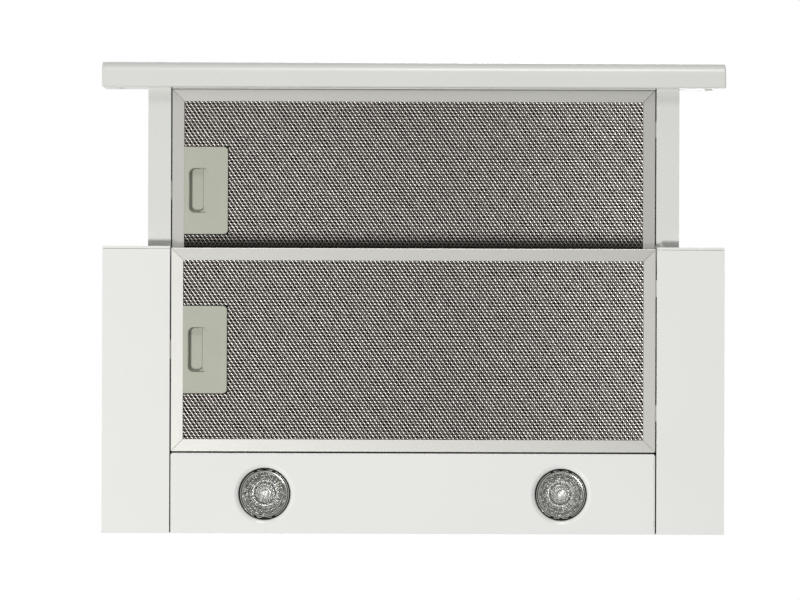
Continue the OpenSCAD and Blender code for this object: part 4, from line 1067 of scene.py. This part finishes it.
TIP_UP, CAPSULE_SHARE, DIMPLE, DIMPLE_R = 2.5 * MM, 0.88, 1.6 * MM, 2.4 * MM
SHIELD_GAP, SHIELD_UP, SHIELD_H, SHIELD_WALL = 0.9 * MM, 7 * MM, 2.5 * MM, 0.5 * MM
GLASS_R, GLASS_UP, GLASS_WALL, GLASS_SWELL = 22.6 * MM, 1.0 * MM, 1.3 * MM, 0.9 * MM
HOLDER_EDGE = 0.5 * MM


class HOOD_OT_lamps(Operator):
    """Lamps in the underside: notched satin rings, faceted mirrors, their capsules and front glasses."""

    bl_idname = "hood.lamps"
    bl_label = "Lamps"

    def execute(self, context):
        rings = []
        for node in ("left_bulb", "right_bulb"):
            low, high = span(node)
            self.node, self.centre = node, np.array([(low[0] + high[0]) / 2, (low[1] + high[1]) / 2, 0])
            rings.append(self.ring())
            self.mirror(low[2] + MIRROR_UP)
            self.back(low[2] + MIRROR_UP, high[2])
            self.capsule(low[2] + MIRROR_UP)
            self.glass(low[2] + GLASS_UP)
        piece = build("lamp_ring_pair", *joined(rings))
        finish_piece(piece, "chassis", skin(satin_chrome), ["lamp_rings"])
        sharpen(piece, 40)
        ease(skin(glazed_steatite), HOLDER_EDGE, "lamp_holders")
        return {"FINISHED"}

    def ring(self):
        """A turned ring whose outer edge is cut by two straight notches: in a notch, the radius is the notch's
        distance from the middle divided by the sine of the angle. A small slot ends each notch at either side."""
        profile = rounded(np.array(RING_CORNERS) * MM, np.array(RING_RADII) * MM, 4)
        points, *rest = revolve(profile, (0, 0, 0), 180)
        x, y, z = np.abs(points.T)
        r = np.hypot(x, y)
        limit = (RING_R - NOTCH_DEPTH) / np.maximum(y / r, 1e-6)
        cut = (x < NOTCH_HALF) & (z < RIM_Z) & (r > limit)
        points[:, :2] *= np.where(cut, limit / r, 1.0)[:, None]
        slot = (np.abs(np.abs(points[:, 0]) - NOTCH_HALF) < SLOT_HALF) & (r > SLOT_R) & (z < SLOT_UNDER)
        points[:, 2] = np.where(slot, SLOT_Z, z)
        return points + self.centre, *rest

    def mirror(self, top):
        """The mirror: a bowl whose height falls off with the square of the way out to its rim, with facets that
        swell by the product of two sines, and a bead round it that is a bell curve of the radius."""
        lamps = settings("lamps")
        t = np.linspace(0, 1, lamps.rings * FACET_STEPS + 1)[:, None]
        a = np.linspace(0, 2 * math.pi, lamps.spokes * FACET_STEPS, endpoint=False)[None, :]
        swell = lamps.bulge * np.abs(np.sin(math.pi * lamps.rings * t)) * np.abs(np.sin(lamps.spokes * a / 2))
        radius = NECK_R + (MIRROR_R - NECK_R) * t
        bead = BEAD_H * np.exp(-(((radius - BEAD_R) / BEAD_W) ** 2))
        height = top + MIRROR_H * (1 - t**2) - 3 * swell - bead
        radius = radius - swell
        points = np.stack([radius * np.cos(a), radius * np.sin(a), height], -1)
        uv = np.stack(np.broadcast_arrays(a / (2 * math.pi) * lamps.spokes, t * lamps.rings), -1).reshape(-1, 2)
        faces = grid_faces(len(t), a.size, close_columns=True)
        mirror = build(self.node + "_mirror", points.reshape(-1, 3) + self.centre, faces, uv=uv)
        finish_piece(mirror, "chassis", skin(lamp_mirror))

    def turned_piece(self, name, coat, profile, segments, stands_for=()):
        piece = build(self.node + name, *revolve(profile, self.centre, segments))
        finish_piece(piece, "chassis", coat, stands_for)
        return piece

    def back(self, top, high):
        """The glass body behind the mirror, down to its base: a turned closed profile just outside the mirror."""
        t = np.linspace(0, 1, 12)
        inside = np.column_stack([NECK_R + BODY_GAP + (MIRROR_R - NECK_R) * t, top + BODY_GAP + MIRROR_H * (1 - t**2)])
        outside = inside[::-1] + [BODY_WALL, BODY_DROP]
        base = [(BASE_R, high - BASE_H), (BASE_R, high - BASE_EDGE), (BASE_R - BASE_EDGE, high), (0.1 * MM, high)]
        profile = np.concatenate([inside, outside, base, [(0.1 * MM, top + MIRROR_H + BODY_GAP)]])
        profile[:, 0] = np.minimum(profile[:, 0], BODY_R)
        sharpen(self.turned_piece("_body", skin(glazed_steatite), profile, 64, [self.node]))

    def capsule(self, top):
        """Glass capsule round the filament: a cylinder closed by a half sphere that looks down, with a dimple where
        its tube was sealed: a bell curve of the radius. Inside is a shield, a shallow bowl: its height falls off with
        the square of the radius."""
        r, tip, end = settings("lamps").capsule, top + TIP_UP, top + CAPSULE_SHARE * MIRROR_H
        a = np.linspace(0.02, math.pi / 2, 20)
        dome = np.column_stack([r * np.sin(a), tip + r * (1 - np.cos(a))])
        dome[:, 1] += DIMPLE * np.exp(-((dome[:, 0] / DIMPLE_R) ** 2))
        profile = np.concatenate([dome, [[r, end], [0.02 * r, end]]])
        self.turned_piece("_capsule", skin(lamp_glass, "Satin"), profile, 48)
        t = np.linspace(0.02, 1, 12)
        bowl = np.column_stack([(r - SHIELD_GAP) * t, tip + SHIELD_UP - SHIELD_H * t**2])
        profile = np.concatenate([bowl, bowl[::-1] + [0, SHIELD_WALL]])
        self.turned_piece("_shield", skin(lamp_mirror), profile, 48)

    def glass(self, z):
        """Front glass: a thin lens that is flat at its rim and swells down a little at the middle."""
        t = np.linspace(0.01, 1, 20)
        swell = GLASS_SWELL * (1 - t**2)
        face = np.column_stack([GLASS_R * t, z - swell])
        back = np.column_stack([GLASS_R * t, z + GLASS_WALL - 0.3 * swell])
        self.turned_piece("_front_glass", skin(lamp_glass), np.concatenate([face, back[::-1]]), 96)


# ---- Outlet, controls, blower and screws ----

FLAP_EDGE, CONTROL_EDGE = 0.2 * MM, 0.35 * MM
HEAD_R, HEAD_H, SHANK_R, SHANK_L, SCREW_APART = 3.5 * MM, 2.2 * MM, 1.5 * MM, 7 * MM, 8 * MM


class HOOD_OT_outlet(Operator):
    """Outlet collar with its flap seat and flaps, and the terminal box."""

    bl_idname = "hood.outlet"
    bl_label = "Outlet and terminal box"

    def execute(self, context):
        ease(skin(black_polyamide), settings("edges").moulding, "outlet_collar", "terminal_box")
        paint(skin(black_polyamide), "flap_seat")
        ease(skin(zinc_plate), FLAP_EDGE, "left_flap", "right_flap")
        return {"FINISHED"}


class HOOD_OT_controls(Operator):
    """Sliding controls and the switches they work."""

    bl_idname = "hood.controls"
    bl_label = "Controls"

    def execute(self, context):
        ease(skin(black_polyamide), CONTROL_EDGE, "speed_slider", "light_slider", "switch_block", "drawer_switch")
        return {"FINISHED"}


class HOOD_OT_blower(Operator):
    """Blower inside the housing: scroll, motor, impellers and capacitor."""

    bl_idname = "hood.blower"
    bl_label = "Blower"

    def execute(self, context):
        paint(skin(zinc_plate), "scroll_wrap", "scroll_plates", "motor_shaft")
        paint(skin(motor_varnish), "motor")
        paint(skin(coated_sheet), "motor_bracket")
        paint(skin(sintered_bronze), "shaft_bearings")
        paint(skin(white_polypropylene), "capacitor", "left_impeller", "right_impeller")
        return {"FINISHED"}


def pan_head():
    """A pan-head screw along +Z, its head above zero: the head is a flattened dome with a cross recess.

    The dome is a grid of rings and angles. Its height falls off with the fourth power of the radius, and a point
    within either arm of the cross drops to the recess's floor."""
    t = np.concatenate([np.linspace(0.02, 0.62, 9), np.linspace(0.7, 1, 5)])[:, None]
    a = np.linspace(0, 2 * math.pi, 40, endpoint=False)[None, :]
    x, y = HEAD_R * t * np.cos(a), HEAD_R * t * np.sin(a)
    arm, reach = 0.14 * HEAD_R, 0.62 * HEAD_R
    cross = (np.minimum(np.abs(x), np.abs(y)) < arm) & (np.maximum(np.abs(x), np.abs(y)) < reach)
    dome = np.stack([x, y, np.where(cross, 0.35 * HEAD_H, HEAD_H * (1 - 0.75 * t**4))], -1)
    sides = [(HEAD_R, 0.0), (SHANK_R, 0.0), (SHANK_R, -SHANK_L), (0.3 * SHANK_R, -SHANK_L - SHANK_R)]
    below = [np.stack([r * np.cos(a[0]), r * np.sin(a[0]), np.full(a.size, h)], -1) for r, h in sides]
    return loft(np.concatenate([dome, below]))


class HOOD_OT_screws(Operator):
    """Pan-head screws of the top cover and of the drawer."""

    bl_idname = "hood.screws"
    bl_label = "Screws"

    def execute(self, context):
        self.group("housing_screws", 2)
        self.group("bar_screws", 1)
        return {"FINISHED"}

    def group(self, node, axis):
        """One piece with a screw where each of the node's own solids is. axis is the way the heads look."""
        points = np.array([v.co for v in frame["nodes"][node].data.vertices], float)
        heads = points[points[:, axis] > points[:, axis].max() - 10 * SAME_POINT]
        firsts, parts = [], []
        for p in heads:
            if any(np.linalg.norm(p - first) < SCREW_APART for first in firsts):
                continue
            firsts.append(p)
            around = heads[np.linalg.norm(heads - p, axis=1) < SCREW_APART]
            places, *rest = pan_head()
            if axis == 1:
                places = places[:, [0, 2, 1]] * [1, 1, -1]
            places = places + (around.min(0) + around.max(0)) / 2
            places[:, axis] -= HEAD_H
            parts.append((places, *rest))
        piece = build(node + "_pan_heads", *joined(parts))
        finish_piece(piece, body_of(node), skin(zinc_plate), [node])
        sharpen(piece, 40)


# ---- Stage ----

PICTURE_W, PICTURE_H = 800, 600
SENSOR = 36.0
HOOD_X_PIXEL, HOOD_Y_PIXEL = 413.35, 297.9
MIDDLE_Y, AIM_Z = -0.22675, 0.03
ROLL = math.radians(0.18)
FLOOR_Z, FLOOR_HALF = -0.75, 2.5
KEY_PLACE, KEY_SHARE, FRONT_POWER, TOP_POWER, SIDE_POWER = (-2.3, 2.4, -5.1), 0.55, 55, 40, 22


class HOOD_OT_stage(Operator):
    """Camera, light and floor. The camera looks straight up at the underside, as in the photograph."""

    bl_idname = "hood.stage"
    bl_label = "Stage"

    def execute(self, context):
        stage, scene = settings("stage"), context.scene
        self.camera(scene, stage)
        self.lamp("Key", KEY_PLACE, 1.45, stage.key * KEY_SHARE, glossy=False)
        self.lamp("Glint", KEY_PLACE, 0.9, stage.key * (1 - KEY_SHARE))
        self.lamp("Fill", (0.25, -3.6, -2.4), 0.9, stage.fill)
        self.lamp("Front", (0.4, -5, -0.7), 1.6, FRONT_POWER, glossy=False)
        self.lamp("Top", (0.6, -1.1, 2.6), 1.8, TOP_POWER)
        self.lamp("Side", (-2.2, 1.6, 1.4), 1.5, SIDE_POWER)
        self.floor()
        self.world(scene, stage)
        scene.view_settings.view_transform = "Standard"
        return {"FINISHED"}

    def camera(self, scene, stage):
        """A long lens far below the hood. The lens follows from the scale of the picture at the underside."""
        data = bpy.data.cameras.new("Camera")
        camera = bpy.data.objects.new("Camera", data)
        scene.collection.objects.link(camera)
        scale = stage.pixels / MM
        data.sensor_width = SENSOR
        data.lens = SENSOR * stage.distance * scale / PICTURE_W
        data.clip_start, data.clip_end = 0.1, 20
        right = (PICTURE_W / 2 - HOOD_X_PIXEL) / scale
        down = (PICTURE_H / 2 - HOOD_Y_PIXEL) / scale
        camera.location = (right, MIDDLE_Y + down, -stage.distance)
        camera.rotation_euler = (Euler((math.pi, 0, 0)).to_matrix() @ Matrix.Rotation(ROLL, 3, "Z")).to_euler()
        scene.camera = camera

    def lamp(self, name, place, size, power, glossy=True):
        """A square soft light that looks at the middle of the hood, with or without a reflection in metal."""
        data = bpy.data.lights.new(name, "AREA")
        data.size, data.energy = size, power
        light = bpy.data.objects.new(name, data)
        light.location = place
        light.visible_glossy = glossy
        aim = Vector((0, MIDDLE_Y, AIM_Z)) - Vector(place)
        light.rotation_euler = aim.to_track_quat("-Z", "Y").to_euler()
        bpy.context.scene.collection.objects.link(light)

    def floor(self):
        """A wide pale sheet below the hood, which no light from below is stopped by."""
        corners = at_height(rectangle((-FLOOR_HALF, -FLOOR_HALF), (FLOOR_HALF, FLOOR_HALF)), FLOOR_Z)
        piece = build("floor", corners, [[0, 1, 2, 3]])
        piece.data.materials.append(skin(pale_backdrop))
        for ray in ("shadow", "diffuse", "glossy", "transmission"):
            setattr(piece, "visible_" + ray, False)

    def world(self, scene, stage):
        """White for what the camera, mirrors and glass see, and a softer even light for the rest."""
        world = bpy.data.worlds.new("Studio")
        scene.world = world
        world.use_nodes = True
        tree = world.node_tree
        tree.nodes.clear()
        rays = add(tree, "LightPath").outputs
        seen = rays["Is Camera Ray"]
        for ray in ("Is Glossy Ray", "Is Transmission Ray"):
            seen = add(tree, "Math", {0: seen, 1: rays[ray]}, operation="ADD").outputs[0]
        clear = add(tree, "Math", {0: seen, 1: 1.0}, operation="MINIMUM").outputs[0]
        strength = add(tree, "MapRange", {"Value": clear, "To Min": stage.around, "To Max": 1.0}).outputs[0]
        sky = add(tree, "Background", {"Color": (1, 1, 1, 1), "Strength": strength})
        add(tree, "OutputWorld", {"Surface": sky.outputs[0]})


# ---- Add-on ----


class HOOD_PT_panel(Panel):
    """Sizes, colours and steps of the range hood."""

    bl_idname = "HOOD_PT_panel"
    bl_label = "Range hood"
    bl_space_type = "VIEW_3D"
    bl_region_type = "UI"
    bl_category = "Range hood"

    def draw(self, context):
        for step in STEPS:
            self.layout.operator(step.bl_idname)
        for name, group in GROUPS.items():
            box = self.layout.box()
            box.label(text=group.__doc__)
            for field in group.__annotations__:
                box.prop(getattr(context.scene, "hood_" + name), field)


STEPS = (
    HOOD_OT_lower_section,
    HOOD_OT_housing,
    HOOD_OT_drawer,
    HOOD_OT_front_bar,
    HOOD_OT_lamp_panel,
    HOOD_OT_filter_frames,
    HOOD_OT_nets,
    HOOD_OT_grips,
    HOOD_OT_lamps,
    HOOD_OT_outlet,
    HOOD_OT_controls,
    HOOD_OT_blower,
    HOOD_OT_screws,
    HOOD_OT_stage,
)


def register():
    for group in GROUPS.values():
        bpy.utils.register_class(group)
    for name, group in GROUPS.items():
        setattr(bpy.types.Scene, "hood_" + name, PointerProperty(type=group))
    for step in (*STEPS, HOOD_PT_panel):
        bpy.utils.register_class(step)


def unregister():
    for step in (HOOD_PT_panel, *reversed(STEPS)):
        bpy.utils.unregister_class(step)
    for name, group in GROUPS.items():
        delattr(bpy.types.Scene, "hood_" + name)
        bpy.utils.unregister_class(group)


def main():
    """Makes the looks in order."""
    register()
    for step in STEPS:
        group, name = step.bl_idname.split(".")
        getattr(getattr(bpy.ops, group), name)()


if __name__ == "__main__":
    main()
